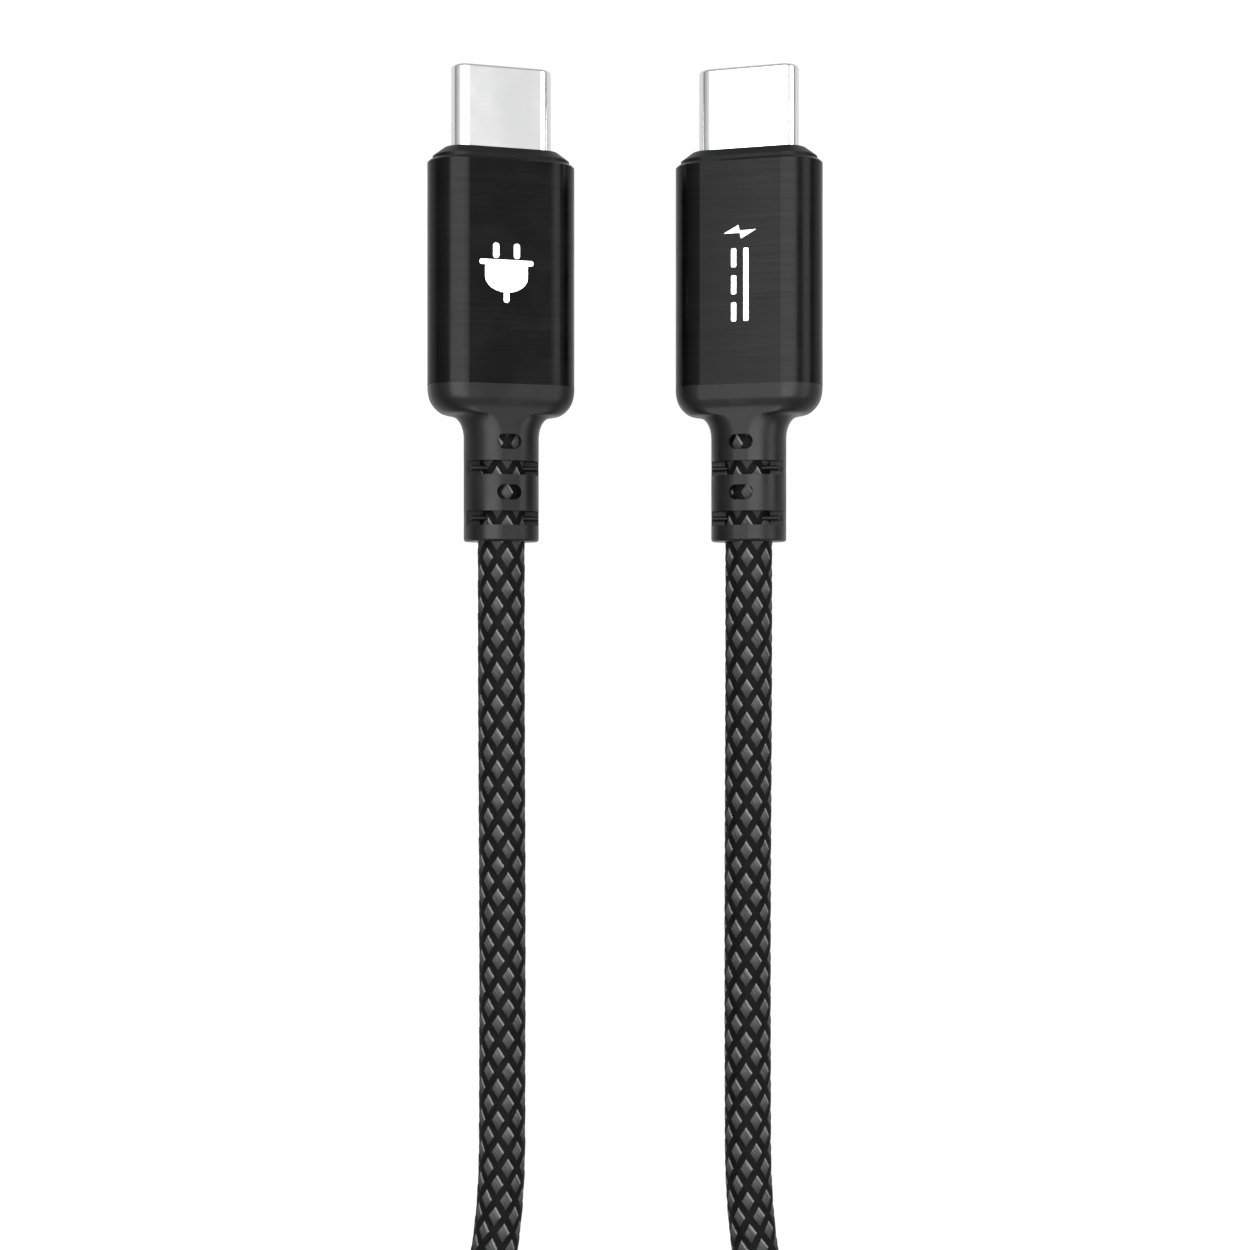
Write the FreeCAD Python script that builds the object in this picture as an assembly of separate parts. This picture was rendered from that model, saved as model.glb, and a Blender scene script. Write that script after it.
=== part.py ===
"""Charging cable: two 24-contact plugs on one braided cord, the spare length tied in a hank.

Units are millimetres. The row frame has +Z up. The cable lies on the plane z = 0, both plugs
point along +Y, and the origin is on that plane under the middle of the pair of plugs.
Each plug is drawn in its own frame first: X across its width, Y along it from the cable end
of the boot (0) to the mouth of the shell, Z through its thickness. It is then rolled about
its own axis, because a plug with rounded sides leans on one of its edges, and put in place.
"""

import FreeCAD, Part
import math
import os

V = FreeCAD.Vector

# ---- where the plugs lie ----
PLUG_SPACING = 19.9          # between the two plug axes
PLUG_ROLL = 18.3             # degrees that each plug leans towards the other
PLUG_LENGTH = 38.05          # boot end to shell mouth
TABLE_GAP = 0.02             # under the lowest edge of a plug
CUT_PAST = 1.0               # how far a cutting body runs past what it cuts

# ---- stations along a plug, from the boot's cable end ----
SHOULDER_START = 8.3         # the neck of the boot begins to widen
SLEEVE_START = 12.45
SLEEVE_END = 30.4
NOSE_FLANGE = 0.32           # how far the nose's flange stands on the sleeve's front face
NOSE_END = 31.4
SPIGOT = 1.5                 # how far the boot and the nose reach into the sleeve
CARD_START = 16.4
CARD_END = 26.9
SHELL_START = 27.0
CAN_START = 15.0
CAN_END = 28.6

# ---- sections, width by thickness ----
SLEEVE = (12.05, 5.44)
SLEEVE_WALL = 0.55
SLEEVE_RIM = 0.2             # chamfer round the sleeve's front edge
BOOT = (6.05, 5.0)
BOOT_CORNER = 2.45
BOOT_EDGE = 0.22             # rounding round the boot's cable end
SHOULDER = (11.95, 5.56)
SHOULDER_CORNER = 2.6
SHOULDER_SECTIONS = 24       # evenly spaced, or the loft swells between them
SHOULDER_RUN_UP = 6          # more of them before it, with the neck's section
SHOULDER_FILLET = (0.42, 0.36)  # shares of its length and of its widening that are concave
SHOULDER_ROUND = 2.4         # power of its convex part: 2 would be an ellipse
SHOULDER_STEP = (0.52, 0.76)  # shares of its length between which it thickens
SHELL = (8.25, 2.4)          # the standard plug
SHELL_WALL = 0.35
SHELL_LIP = 0.3              # rounding round the mouth
LOFT_FLAT = 0.01             # least flat side that a lofted section keeps
NOSE_BASE = (11.2, 4.7)
NOSE_TOP = (9.4, 3.2)
CAN = (9.0, 3.3)
CAN_CORNER = 0.6
CAN_WALL = 0.15
MOULD_WALL_GAP = 0.05        # clearance of each part that slides into another
CARD = (8.4, 0.8)
CARD_NOTCH = (0.5, 19.6)     # radius and station
CHIP = (2.4, 2.4, 0.7)
CHIP_PLACE = (-1.4, 20.6)    # across and along
CHIP_CHAMFER = 0.12
CAPACITOR = (0.5, 1.0, 0.5)
CAPACITORS = 4
CAPACITOR_PLACE = (0.9, 20.8)
CAPACITOR_PITCH = 0.85
RESISTOR = (0.5, 1.0, 0.35)
RESISTORS = 3
RESISTOR_PLACE = (-1.2, 21.4)
RESISTOR_PITCH = 1.2
CABLE_DIAMETER = 3.8
CABLE_GAP = 0.03
MOULD_REAR = (7.2, 3.0)      # the inner mould's opening for the wires

FERRULE_DIAMETER = 4.2
FERRULE_START = 10.4
FERRULE_END = 13.3
CABLE_END = 13.6             # the cable's jacket ends here, inside the plug

# ---- boot openings ----
SLOT_STATIONS = (1.85, 5.85)
SLOT_LENGTH = 1.13
SLOT_FLOOR = 0.45            # the slots' floor above the plug's axis
SLOT_RIB = (0.38, 1.3)       # the rib across each floor: its width, and its top above the axis
HOLE_STATIONS = (3.89, 7.9)
HOLE = (2.0, 1.2)

# ---- contacts ----
CONTACTS_IN_ROW = 12
CONTACT_PITCH = 0.5
CONTACT_SECTION = (0.25, 0.12)
CONTACT_HEIGHT = 0.47        # middle of a contact above the plug's axis
CONTACT_START = 25.3
CONTACT_END = 36.5
CONTACT_BUMP = (0.7, 0.12)   # length and height of the bowed tip
CONTACT_BUMP_FLAT = (0.4, 0.6)  # shares of its length between which it is flat
CONTACT_NOSE = (0.25, 0.02)  # length and drop of the blade's front end
CONTACT_GROOVE = 0.03        # clearance round a contact in the housing
HOUSING_START = 27.8
HOUSING_END = 37.75
HOUSING_BLOCK_END = 31.9
MOUTH = (6.9, 1.12)          # the cavity that the socket's tongue enters
LATCH_ARM = (3.05, 3.3)      # inner and outer edge of a latch arm, from the axis
LATCH_THICKNESS = 0.2
LATCH_BRIDGE = (27.75, 28.9)
LATCH_TIP = (35.4, 36.1)
LATCH_HOOK = 0.3             # how far a latch tip reaches inwards
GROUND_SPRING = (6.0, 0.7, 0.08)
GROUND_SPRING_START = 36.8
GROUND_SPRING_HEIGHT = 0.5

# ---- wires ----
POWER_WIRE = 1.0
SIGNAL_WIRE = 0.7
WIRE_BEND = 0.8
WIRE_RISE = 0.75             # height of a wire in the cable's end
WIRE_CARD_GAP = 0.02
WIRE_STRAIGHT = 0.7          # first run out of the cable
WIRE_SOLDERED = (0.2, 2.2)   # a wire's run on the card, from the card's edge
POWER_ENDS = ((0.0, 0.0, 1), (0.0, 0.0, -1))  # across at the cable, across at the card, face
SIGNAL_ENDS = ((-1.15, -2.9, 1), (1.15, 2.9, 1), (-1.15, -2.9, -1), (1.15, 2.9, -1))

# ---- the cord between the plugs ----
STRAND = CABLE_DIAMETER
STRANDS = 5                  # strands side by side in the hank, round a ring
FOLD_INNER = 3 * STRAND      # smallest radius that a strand is folded to
HANK_STRAIGHT = 31.0         # long side of the hank, between its end loops
HANK_TOP = -121.5            # station where the long sides begin
HANK_WAIST = 4.4             # how far the tie draws each long side in
HANK_EDGE = 3.6              # rounding along the hank's edges
ENTRY_ANGLE = -18.0          # place of the first strand round the bundle, degrees
TIE_WIDTH = 10.0
TIE_THICKNESS = 1.2
TIE_GAP = 0.05
TIE_SIDE_GAP = 0.3           # beside the bundles, which spread towards the strap's edges
LEAD_STUB = 13.0             # how far a strand leaves the hank before it is a lead
LEAD_LAST_RUN = 5.0
LEAD_ROUTE = (               # x from the middle, y, z: out of the boot and down to the table
    (9.95, -29.0, None),
    (9.94, -40.0, 3.1),
    (9.95, -51.0, 2.15),
    (9.98, -62.0, 1.93),
    (10.0, -72.5, 1.94),
)
LEAD_SWING = (               # share of the way across and up to the hank, and y
    (0.16, 0.08, -80.4),
    (0.48, 0.32, -88.0),
    (0.81, 0.68, -95.6),
)


def rounded_outline(width, height, radius, station):
    """Closed wire of a rounded rectangle across the plug at one station."""
    half_x = width / 2 - radius
    half_z = height / 2 - radius
    corners = ((half_x, half_z, 0), (-half_x, half_z, 90), (-half_x, -half_z, 180), (half_x, -half_z, 270))
    edges = []
    ends = []
    for x, z, start in corners:
        points = []
        for turn in (0, 45, 90):
            angle = math.radians(start + turn)
            points.append(V(x + radius * math.cos(angle), station, z + radius * math.sin(angle)))
        edges.append(Part.Arc(*points).toShape())
        ends.append((points[0], points[2]))
    for i in range(len(ends)):
        a = ends[i][1]
        b = ends[(i + 1) % len(ends)][0]
        if a.distanceToPoint(b) > 1e-6:
            edges.append(Part.makeLine(a, b))
    return Part.Wire(Part.__sortEdges__(edges))


def bar(section, start, end, radius=None):
    """Solid bar with a rounded section; the sides are half round where no radius is given."""
    corner = min(section) / 2 if radius is None else radius
    face = Part.Face(rounded_outline(section[0], section[1], corner, start))
    return face.extrude(V(0, end - start, 0))


def inset(section, wall):
    """A section with a wall taken off all round."""
    return (section[0] - 2 * wall, section[1] - 2 * wall)


def box(width, length, height, x, y, z):
    """Box with its middle at x and z, from station y forwards."""
    return Part.makeBox(width, length, height, V(x - width / 2, y, z - height / 2))


def rod(diameter, start, end):
    """Round bar on the plug's axis."""
    return Part.makeCylinder(diameter / 2, end - start, V(0, start, 0), V(0, 1, 0))


def corner_radius(before, corner, after):
    """Radius of the arc that rounds a corner: 0.45 of the shorter run over tan(half the turn)."""
    run_in = corner - before
    run_out = after - corner
    turn = run_in.getAngle(run_out)
    return 0.45 * min(run_in.Length, run_out.Length) / math.tan(turn / 2)


def rounded_path(points, radius=None):
    """Wire of straight runs joined by tangent arcs, and the radii of its arcs."""
    edges = []
    radii = []
    last = points[0]
    for before, corner, after in zip(points, points[1:], points[2:]):
        into = (corner - before).normalize()
        out = (after - corner).normalize()
        half = into.getAngle(out) / 2
        size = corner_radius(before, corner, after) if radius is None else radius
        cut = size * math.tan(half)
        start = corner - into * cut
        end = corner + out * cut
        toward = (out - into).normalize()
        middle = corner + toward * (size / math.cos(half) - size)
        if last.distanceToPoint(start) > 1e-6:
            edges.append(Part.LineSegment(last, start).toShape())
        edges.append(Part.Arc(start, middle, end).toShape())
        radii.append(size)
        last = end
    edges.append(Part.LineSegment(last, points[-1]).toShape())
    return Part.Wire(edges), radii


def tube_along(points, diameter, radius=None):
    """Solid round tube along straight runs and arcs."""
    path, radii = rounded_path(points, radius)
    start = points[0]
    axis = (points[1] - points[0]).normalize()
    ring = Part.Wire(Part.makeCircle(diameter / 2, start, axis))
    solid = path.makePipeShell([ring], True, False)
    return solid, radii, path.Length


# ---- the outside of a plug ----

def shell():
    """Deep drawn steel shell, open at both ends, with a rounded mouth."""
    outer = bar(SHELL, SHELL_START, PLUG_LENGTH)
    mouth_edges = [e for e in outer.Edges if e.BoundBox.YMin > PLUG_LENGTH - 0.01]
    outer = outer.makeFillet(SHELL_LIP, mouth_edges)
    inner = bar(inset(SHELL, SHELL_WALL), SHELL_START - CUT_PAST, PLUG_LENGTH + CUT_PAST)
    return outer.cut(inner)


def sleeve():
    """Aluminium sleeve, with a bright chamfer round its front edge."""
    outer = bar(SLEEVE, SLEEVE_START, SLEEVE_END)
    rim_edges = [e for e in outer.Edges if e.BoundBox.YMin > SLEEVE_END - 0.01]
    outer = outer.makeChamfer(SLEEVE_RIM, rim_edges)
    inner = bar(inset(SLEEVE, SLEEVE_WALL), SLEEVE_START - CUT_PAST, SLEEVE_END + CUT_PAST)
    return outer.cut(inner)


def sleeve_bore(gap=MOULD_WALL_GAP):
    """Section of whatever slides into the sleeve."""
    return inset(SLEEVE, SLEEVE_WALL + gap)


def nose():
    """Front cap: a tapered collar round the shell, with a flange and a spigot."""
    base = rounded_outline(*NOSE_BASE, NOSE_BASE[1] / 2 - LOFT_FLAT, SLEEVE_END + NOSE_FLANGE)
    top = rounded_outline(*NOSE_TOP, NOSE_TOP[1] / 2 - LOFT_FLAT, NOSE_END)
    collar = Part.makeLoft([base, top], True, True)
    flange = bar(NOSE_BASE, SLEEVE_END, SLEEVE_END + NOSE_FLANGE)
    spigot = bar(sleeve_bore(), SLEEVE_END - SPIGOT / 2, SLEEVE_END)
    body = collar.fuse(flange).fuse(spigot)
    hole = bar(inset(SHELL, -CABLE_GAP), SLEEVE_END - SPIGOT, NOSE_END + CUT_PAST)
    return body.cut(hole).removeSplitter()


def shoulder_half_width(share):
    """Half width of the shoulder: an S of two arcs' rise, from the neck (0) to the sleeve (1)."""
    neck = BOOT[0] / 2
    full = SHOULDER[0] / 2
    fillet_end, fillet_rise = SHOULDER_FILLET
    if share < fillet_end:
        rise = fillet_rise * (1 - math.sqrt(1 - (share / fillet_end) ** 2))
    else:
        left = (share - fillet_end) / (1 - fillet_end)
        rise = fillet_rise + (1 - fillet_rise) * math.sqrt(1 - (1 - left) ** SHOULDER_ROUND)
    return neck + (full - neck) * rise


def shoulder_thickening(share):
    """How far the shoulder has thickened, from the neck (0) to the sleeve (1): a smooth step."""
    low, high = SHOULDER_STEP
    part = min(max((share - low) / (high - low), 0), 1)
    return part * part * (3 - 2 * part)


def boot_outside():
    """Neck, shoulder and spigot of the boot as one block."""
    spacing = (SLEEVE_START - SHOULDER_START) / SHOULDER_SECTIONS
    neck = bar(BOOT, 0, SHOULDER_START - SHOULDER_RUN_UP * spacing, BOOT_CORNER)
    end_edges = [e for e in neck.Edges if e.BoundBox.YMax < 0.01]
    neck = neck.makeFillet(BOOT_EDGE, end_edges)
    sections = []
    for number in range(-SHOULDER_RUN_UP, SHOULDER_SECTIONS + 1):
        share = max(number, 0) / SHOULDER_SECTIONS
        thicker = shoulder_thickening(share)
        height = BOOT[1] + (SHOULDER[1] - BOOT[1]) * thicker
        corner = BOOT_CORNER + (SHOULDER_CORNER - BOOT_CORNER) * thicker
        station = SHOULDER_START + number * spacing
        sections.append(rounded_outline(2 * shoulder_half_width(share), height, corner, station))
    shoulder = Part.makeLoft(sections, True, False)
    spigot = bar(sleeve_bore(), SLEEVE_START, SLEEVE_START + SPIGOT)
    return neck.fuse(shoulder).fuse(spigot)


def slot_rib(station, side):
    """Round-topped rib across a slot's floor, through the boot's width."""
    width, top = SLOT_RIB
    crest = top - width / 2
    length = 2 * (BOOT[0] / 2 - BOOT_EDGE)
    web = box(length, width, crest, 0, station - width / 2, side * crest / 2)
    start = V(-length / 2, station, side * crest)
    return web.fuse(Part.makeCylinder(width / 2, length, start, V(1, 0, 0)))


def boot():
    """Soft boot that is moulded round the cable, with slots and holes that let it bend."""
    body = boot_outside()
    for station in SLOT_STATIONS:
        for side in (1, -1):
            middle = side * (SLOT_FLOOR + BOOT[1] / 2)
            slot = box(2 * BOOT[0], SLOT_LENGTH, BOOT[1], 0, station - SLOT_LENGTH / 2, middle)
            rib = slot_rib(station, side).common(body)
            body = body.cut(slot).fuse(rib)
    for station in HOLE_STATIONS:
        body = body.cut(rounded_hole(HOLE, station, 2 * BOOT[1]))
    body = body.cut(rod(CABLE_DIAMETER + 2 * CABLE_GAP, -CUT_PAST, SLEEVE_START))
    ferrule_end = SLEEVE_START + SPIGOT + CUT_PAST
    body = body.cut(rod(FERRULE_DIAMETER + 2 * CABLE_GAP, FERRULE_START - CABLE_GAP, ferrule_end))
    return body.removeSplitter()


def rounded_hole(size, station, depth):
    """Slot with round ends, through the thickness."""
    radius = size[1] / 2
    middle = box(size[0] - size[1], size[1], depth, 0, station - radius, 0)
    for side in (1, -1):
        x = side * (size[0] - size[1]) / 2
        end = Part.makeCylinder(radius, depth, V(x, station, -depth / 2))
        middle = middle.fuse(end)
    return middle


# ---- the inside of a plug ----

def crimp_ferrule():
    """Crimped ring that holds the braid and the jacket."""
    ring = rod(FERRULE_DIAMETER, FERRULE_START, FERRULE_END)
    return ring.cut(rod(CABLE_DIAMETER + CABLE_GAP, 0, FERRULE_END + CUT_PAST))


def cable_end():
    """The cable inside the boot, seen through the slots."""
    return rod(CABLE_DIAMETER, 0, CABLE_END)


def inner_mould():
    """Hard moulding that fills the sleeve round the shield can."""
    start = SLEEVE_START + SPIGOT + MOULD_WALL_GAP
    end = SLEEVE_END - SPIGOT / 2 - MOULD_WALL_GAP
    block = bar(sleeve_bore(), start, end)
    room = inset(CAN, -MOULD_WALL_GAP)
    pocket = bar(room, CAN_START - MOULD_WALL_GAP, CAN_END + MOULD_WALL_GAP, CAN_CORNER)
    front = bar(inset(SHELL, -MOULD_WALL_GAP), CAN_END, end + CUT_PAST)
    rear = bar(MOULD_REAR, start - CUT_PAST, CAN_START)
    return block.cut(pocket).cut(front).cut(rear).removeSplitter()


def shield_can_half(side):
    """Half of the pressed can round the circuit card: +1 upper, -1 lower."""
    skin = bar(CAN, CAN_START, CAN_END, CAN_CORNER)
    hollow = bar(inset(CAN, CAN_WALL), CAN_START - CUT_PAST, CAN_END + CUT_PAST, CAN_CORNER - CAN_WALL)
    half = box(2 * CAN[0], 2 * CAN_END, CAN[1], 0, 0, side * (CAN[1] / 2 + CABLE_GAP / 2))
    return skin.cut(hollow).common(half)


def circuit_card():
    """Small card that the contacts and the wires are soldered to."""
    card = box(CARD[0], CARD_END - CARD_START, CARD[1], 0, CARD_START, 0)
    radius, station = CARD_NOTCH
    for side in (1, -1):
        notch = Part.makeCylinder(radius, 2 * CARD[1], V(side * CARD[0] / 2, station, -CARD[1]))
        card = card.cut(notch)
    return card


def marker_chip():
    """Chip that tells the charger what current the cable carries."""
    chip = box(*CHIP, *CHIP_PLACE, (CARD[1] + CHIP[2]) / 2)
    top = CARD[1] / 2 + CHIP[2]
    return chip.makeChamfer(CHIP_CHAMFER, [e for e in chip.Edges if e.BoundBox.ZMin > top - 0.01])


def card_passives():
    """Capacitors above the card and resistors below it, as separate solids."""
    parts = []
    across, along = CAPACITOR_PLACE
    for i in range(CAPACITORS):
        parts.append(box(*CAPACITOR, across + CAPACITOR_PITCH * i, along, (CARD[1] + CAPACITOR[2]) / 2))
    across, along = RESISTOR_PLACE
    for i in range(RESISTORS):
        parts.append(box(*RESISTOR, across + RESISTOR_PITCH * i, along, -(CARD[1] + RESISTOR[2]) / 2))
    return Part.Compound(parts)


def contact_row(side):
    """One row of spring contacts with bowed tips: +1 upper, -1 lower."""
    width, thickness = CONTACT_SECTION
    bump_length, bump_height = CONTACT_BUMP
    top = CONTACT_HEIGHT + thickness / 2
    low = top - thickness
    nose_length, nose_drop = CONTACT_NOSE
    flat_start, flat_end = CONTACT_BUMP_FLAT
    bump_end = CONTACT_END - nose_length
    profile = (
        (CONTACT_START, top),
        (CONTACT_END, top),
        (CONTACT_END, low),
        (bump_end, low - nose_drop),
        (bump_end - bump_length * flat_start, low - bump_height),
        (bump_end - bump_length * flat_end, low - bump_height),
        (bump_end - bump_length, low),
        (CONTACT_START, low),
    )
    points = [V(0, y, side * z) for y, z in profile]
    face = Part.Face(Part.makePolygon(points + [points[0]]))
    blade = face.extrude(V(width, 0, 0))
    row = []
    for i in range(CONTACTS_IN_ROW):
        x = (i - (CONTACTS_IN_ROW - 1) / 2) * CONTACT_PITCH
        blade_here = blade.copy()
        blade_here.translate(V(x - width / 2, 0, 0))
        row.append(blade_here)
    return Part.Compound(row)


def latch_plate():
    """Plate between the contact rows whose two springy side arms hold the plug in a socket."""
    inner, outer = LATCH_ARM
    plate = box(2 * outer, LATCH_BRIDGE[1] - LATCH_BRIDGE[0], LATCH_THICKNESS, 0, LATCH_BRIDGE[0], 0)
    for side in (1, -1):
        arm = box(outer - inner, LATCH_TIP[1] - LATCH_BRIDGE[0], LATCH_THICKNESS,
                  side * (inner + outer) / 2, LATCH_BRIDGE[0], 0)
        hook = box(outer - inner, LATCH_TIP[1] - LATCH_TIP[0], LATCH_THICKNESS,
                   side * (inner + outer - LATCH_HOOK) / 2, LATCH_TIP[0], 0)
        plate = plate.fuse(arm).fuse(hook)
    return plate.removeSplitter()


def ground_springs():
    """Two thin spring plates just inside the mouth that touch the socket's screen."""
    plates = []
    for side in (1, -1):
        plates.append(box(*GROUND_SPRING, 0, GROUND_SPRING_START, side * GROUND_SPRING_HEIGHT))
    return Part.Compound(plates)


def contact_housing():
    """Plastic carrier inside the shell: a rear block that grips the contacts, and a mouth."""
    gap = MOULD_WALL_GAP / 2
    block = bar(inset(SHELL, SHELL_WALL + gap), HOUSING_START, HOUSING_END)
    mouth = box(MOUTH[0], HOUSING_END, MOUTH[1], 0, HOUSING_BLOCK_END, 0)
    block = block.cut(mouth)
    width, thickness = CONTACT_SECTION
    start = HOUSING_START - CUT_PAST
    depth = HOUSING_BLOCK_END + CUT_PAST - start
    grooves = []
    for side in (1, -1):
        for i in range(CONTACTS_IN_ROW):
            x = (i - (CONTACTS_IN_ROW - 1) / 2) * CONTACT_PITCH
            grooves.append(box(width + CONTACT_GROOVE, depth, thickness + CONTACT_GROOVE,
                               x, start, side * CONTACT_HEIGHT))
    for side in (1, -1):
        arm_width = LATCH_ARM[1] - LATCH_ARM[0] + 2 * CONTACT_GROOVE
        grooves.append(box(arm_width, depth, LATCH_THICKNESS + CONTACT_GROOVE,
                           side * sum(LATCH_ARM) / 2, start, 0))
    grooves.append(box(2 * LATCH_ARM[1], LATCH_BRIDGE[1] - start + CONTACT_GROOVE,
                       LATCH_THICKNESS + CONTACT_GROOVE, 0, start, 0))
    return block.cut(Part.Compound(grooves))


def wires(ends, diameter):
    """Insulated wires from the cable's end to the card, one solid each."""
    made = []
    on_card, card_run = WIRE_SOLDERED
    for x_cable, x_card, side in ends:
        z_cable = side * WIRE_RISE
        z_card = side * (CARD[1] / 2 + diameter / 2 + WIRE_CARD_GAP)
        points = (
            V(x_cable, CABLE_END, z_cable),
            V(x_cable, CABLE_END + WIRE_STRAIGHT, z_cable),
            V(x_card, CARD_START + on_card, z_card),
            V(x_card, CARD_START + card_run, z_card),
        )
        made.append(tube_along(points, diameter, WIRE_BEND)[0])
    return Part.Compound(made)


def power_wires():
    """The supply and return wires."""
    return wires(POWER_ENDS, POWER_WIRE)


def signal_wires():
    """The four thinner wires at the sides."""
    return wires(SIGNAL_ENDS, SIGNAL_WIRE)


PLUG_PARTS = {
    "shell": shell,
    "contact_housing": contact_housing,
    "contacts_upper": lambda: contact_row(1),
    "contacts_lower": lambda: contact_row(-1),
    "latch_plate": latch_plate,
    "ground_springs": ground_springs,
    "circuit_card": circuit_card,
    "marker_chip": marker_chip,
    "card_passives": card_passives,
    "shield_can_upper": lambda: shield_can_half(1),
    "shield_can_lower": lambda: shield_can_half(-1),
    "power_wires": power_wires,
    "signal_wires": signal_wires,
    "inner_mould": inner_mould,
    "crimp_ferrule": crimp_ferrule,
    "sleeve": sleeve,
    "nose": nose,
    "boot": boot,
    "cable_end": cable_end,
}


# ---- where a plug lies ----

def half_thickness_when_leaning(section, corner):
    """Height of the axis above the table, for a section that leans on its corner."""
    lean = math.radians(PLUG_ROLL)
    sideways = (section[0] / 2 - corner) * math.sin(lean)
    upward = (section[1] / 2 - corner) * math.cos(lean)
    return sideways + upward + corner


AXIS_HEIGHT = TABLE_GAP + max(
    half_thickness_when_leaning(SLEEVE, SLEEVE[1] / 2),
    half_thickness_when_leaning(SHOULDER, SHOULDER_CORNER),
)


def place(shape, side):
    """Roll a plug's part and put it at the left (-1) or the right (+1)."""
    placed = shape.copy()
    placed.rotate(V(0, 0, 0), V(0, 1, 0), -side * PLUG_ROLL)
    placed.translate(V(side * PLUG_SPACING / 2, -PLUG_LENGTH / 2, AXIS_HEIGHT))
    return placed


# ---- the cord between the plugs ----

BUNDLE_RING = STRAND / 2 / math.sin(math.pi / STRANDS)
BUNDLE_RADIUS = BUNDLE_RING + STRAND / 2
BUNDLE_HEIGHT = BUNDLE_RADIUS + TIE_THICKNESS + 2 * TIE_GAP
FOLD_RADIUS = FOLD_INNER + BUNDLE_RING


def hank_turns():
    """Turns from the entry at the top left to the exit at the top right."""
    loop = math.pi * FOLD_RADIUS
    turn = 2 * HANK_STRAIGHT + 2 * loop
    return STRANDS - 1 + (2 * HANK_STRAIGHT + loop) / turn


def strand_end(side):
    """Where the cord enters the hank at its left (-1) or leaves it at its right (+1)."""
    turns = 0.0 if side < 0 else hank_turns()
    angle = math.radians(ENTRY_ANGLE + 360.0 / STRANDS * turns)
    across = FOLD_RADIUS + BUNDLE_RING * math.cos(angle)
    return V(side * across, HANK_TOP, BUNDLE_HEIGHT + BUNDLE_RING * math.sin(angle))


WAIST_RADIUS = ((HANK_STRAIGHT / 4) ** 2 + (HANK_WAIST / 2) ** 2) / HANK_WAIST


def drawn_in(along):
    """How far a long side is drawn in, at a distance along it: an S of two arcs each way."""
    half = HANK_STRAIGHT / 2
    distance = min(along, HANK_STRAIGHT - along)
    if distance <= half / 2:
        return WAIST_RADIUS - math.sqrt(WAIST_RADIUS ** 2 - distance ** 2)
    return HANK_WAIST - WAIST_RADIUS + math.sqrt(WAIST_RADIUS ** 2 - (half - distance) ** 2)


def side_point(side, along):
    """Point on the middle of a long side's bundle."""
    return V(side * (FOLD_RADIUS - drawn_in(along)), HANK_TOP - along, BUNDLE_HEIGHT)


def hank_path():
    """Closed flat wire down the middle of the hank's bundle."""
    edges = []
    quarters = ((0, 1), (1, 3), (3, 4))
    for side in (-1, 1):
        for first, last in quarters:
            alongs = [HANK_STRAIGHT / 4 * k for k in (first, (first + last) / 2, last)]
            edges.append(Part.Arc(*[side_point(side, along) for along in alongs]).toShape())
    for along, beyond in ((0, FOLD_RADIUS), (HANK_STRAIGHT, -FOLD_RADIUS)):
        tip = V(0, HANK_TOP - along + beyond, BUNDLE_HEIGHT)
        edges.append(Part.Arc(side_point(-1, along), tip, side_point(1, along)).toShape())
    return Part.Wire(Part.__sortEdges__(edges))


def cord_hank():
    """Outer shape of the tied hank, with a square stub where each end of the cord leaves it."""
    path = hank_path()
    outline = Part.Face(path.makeOffset2D(BUNDLE_RADIUS))
    outline = outline.cut(Part.Face(path.makeOffset2D(-BUNDLE_RADIUS)))
    outline.translate(V(0, 0, -BUNDLE_RADIUS))
    body = outline.extrude(V(0, 0, 2 * BUNDLE_RADIUS))
    flat_edges = [e for e in body.Edges if e.BoundBox.ZLength < 0.01]
    body = body.makeFillet(HANK_EDGE, flat_edges)
    for side in (-1, 1):
        end = strand_end(side)
        stub = Part.makeBox(STRAND, LEAD_STUB, STRAND, end - V(STRAND / 2, 0, STRAND / 2))
        body = body.fuse(stub)
    wound = hank_turns() * (2 * HANK_STRAIGHT + 2 * math.pi * FOLD_RADIUS)
    print("hank: turns", round(hank_turns(), 2), "cord in them", round(wound))
    return body


def lead_points(side):
    """Corners of the free lead's route, from the boot to the hank's stub."""
    stub = strand_end(side) + V(0, LEAD_STUB, 0)
    points = [V(side * PLUG_SPACING / 2, -PLUG_LENGTH / 2, AXIS_HEIGHT)]
    for x, y, z in LEAD_ROUTE:
        points.append(V(side * x, y, AXIS_HEIGHT if z is None else z))
    flat = points[-1]
    for across, up, y in LEAD_SWING:
        points.append(V(flat.x + across * (stub.x - flat.x), y, flat.z + up * (stub.z - flat.z)))
    points.append(stub + V(0, LEAD_LAST_RUN, 0))
    points.append(stub)
    return points


def cord_lead(side):
    """Free lead between a boot and the hank."""
    solid, radii, length = tube_along(lead_points(side), STRAND)
    expected = math.pi * STRAND ** 2 / 4 * length
    print("lead: length", round(length, 1), "volume ratio", round(solid.Volume / expected, 4),
          "arc radii", [round(r) for r in radii])
    return solid


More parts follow.
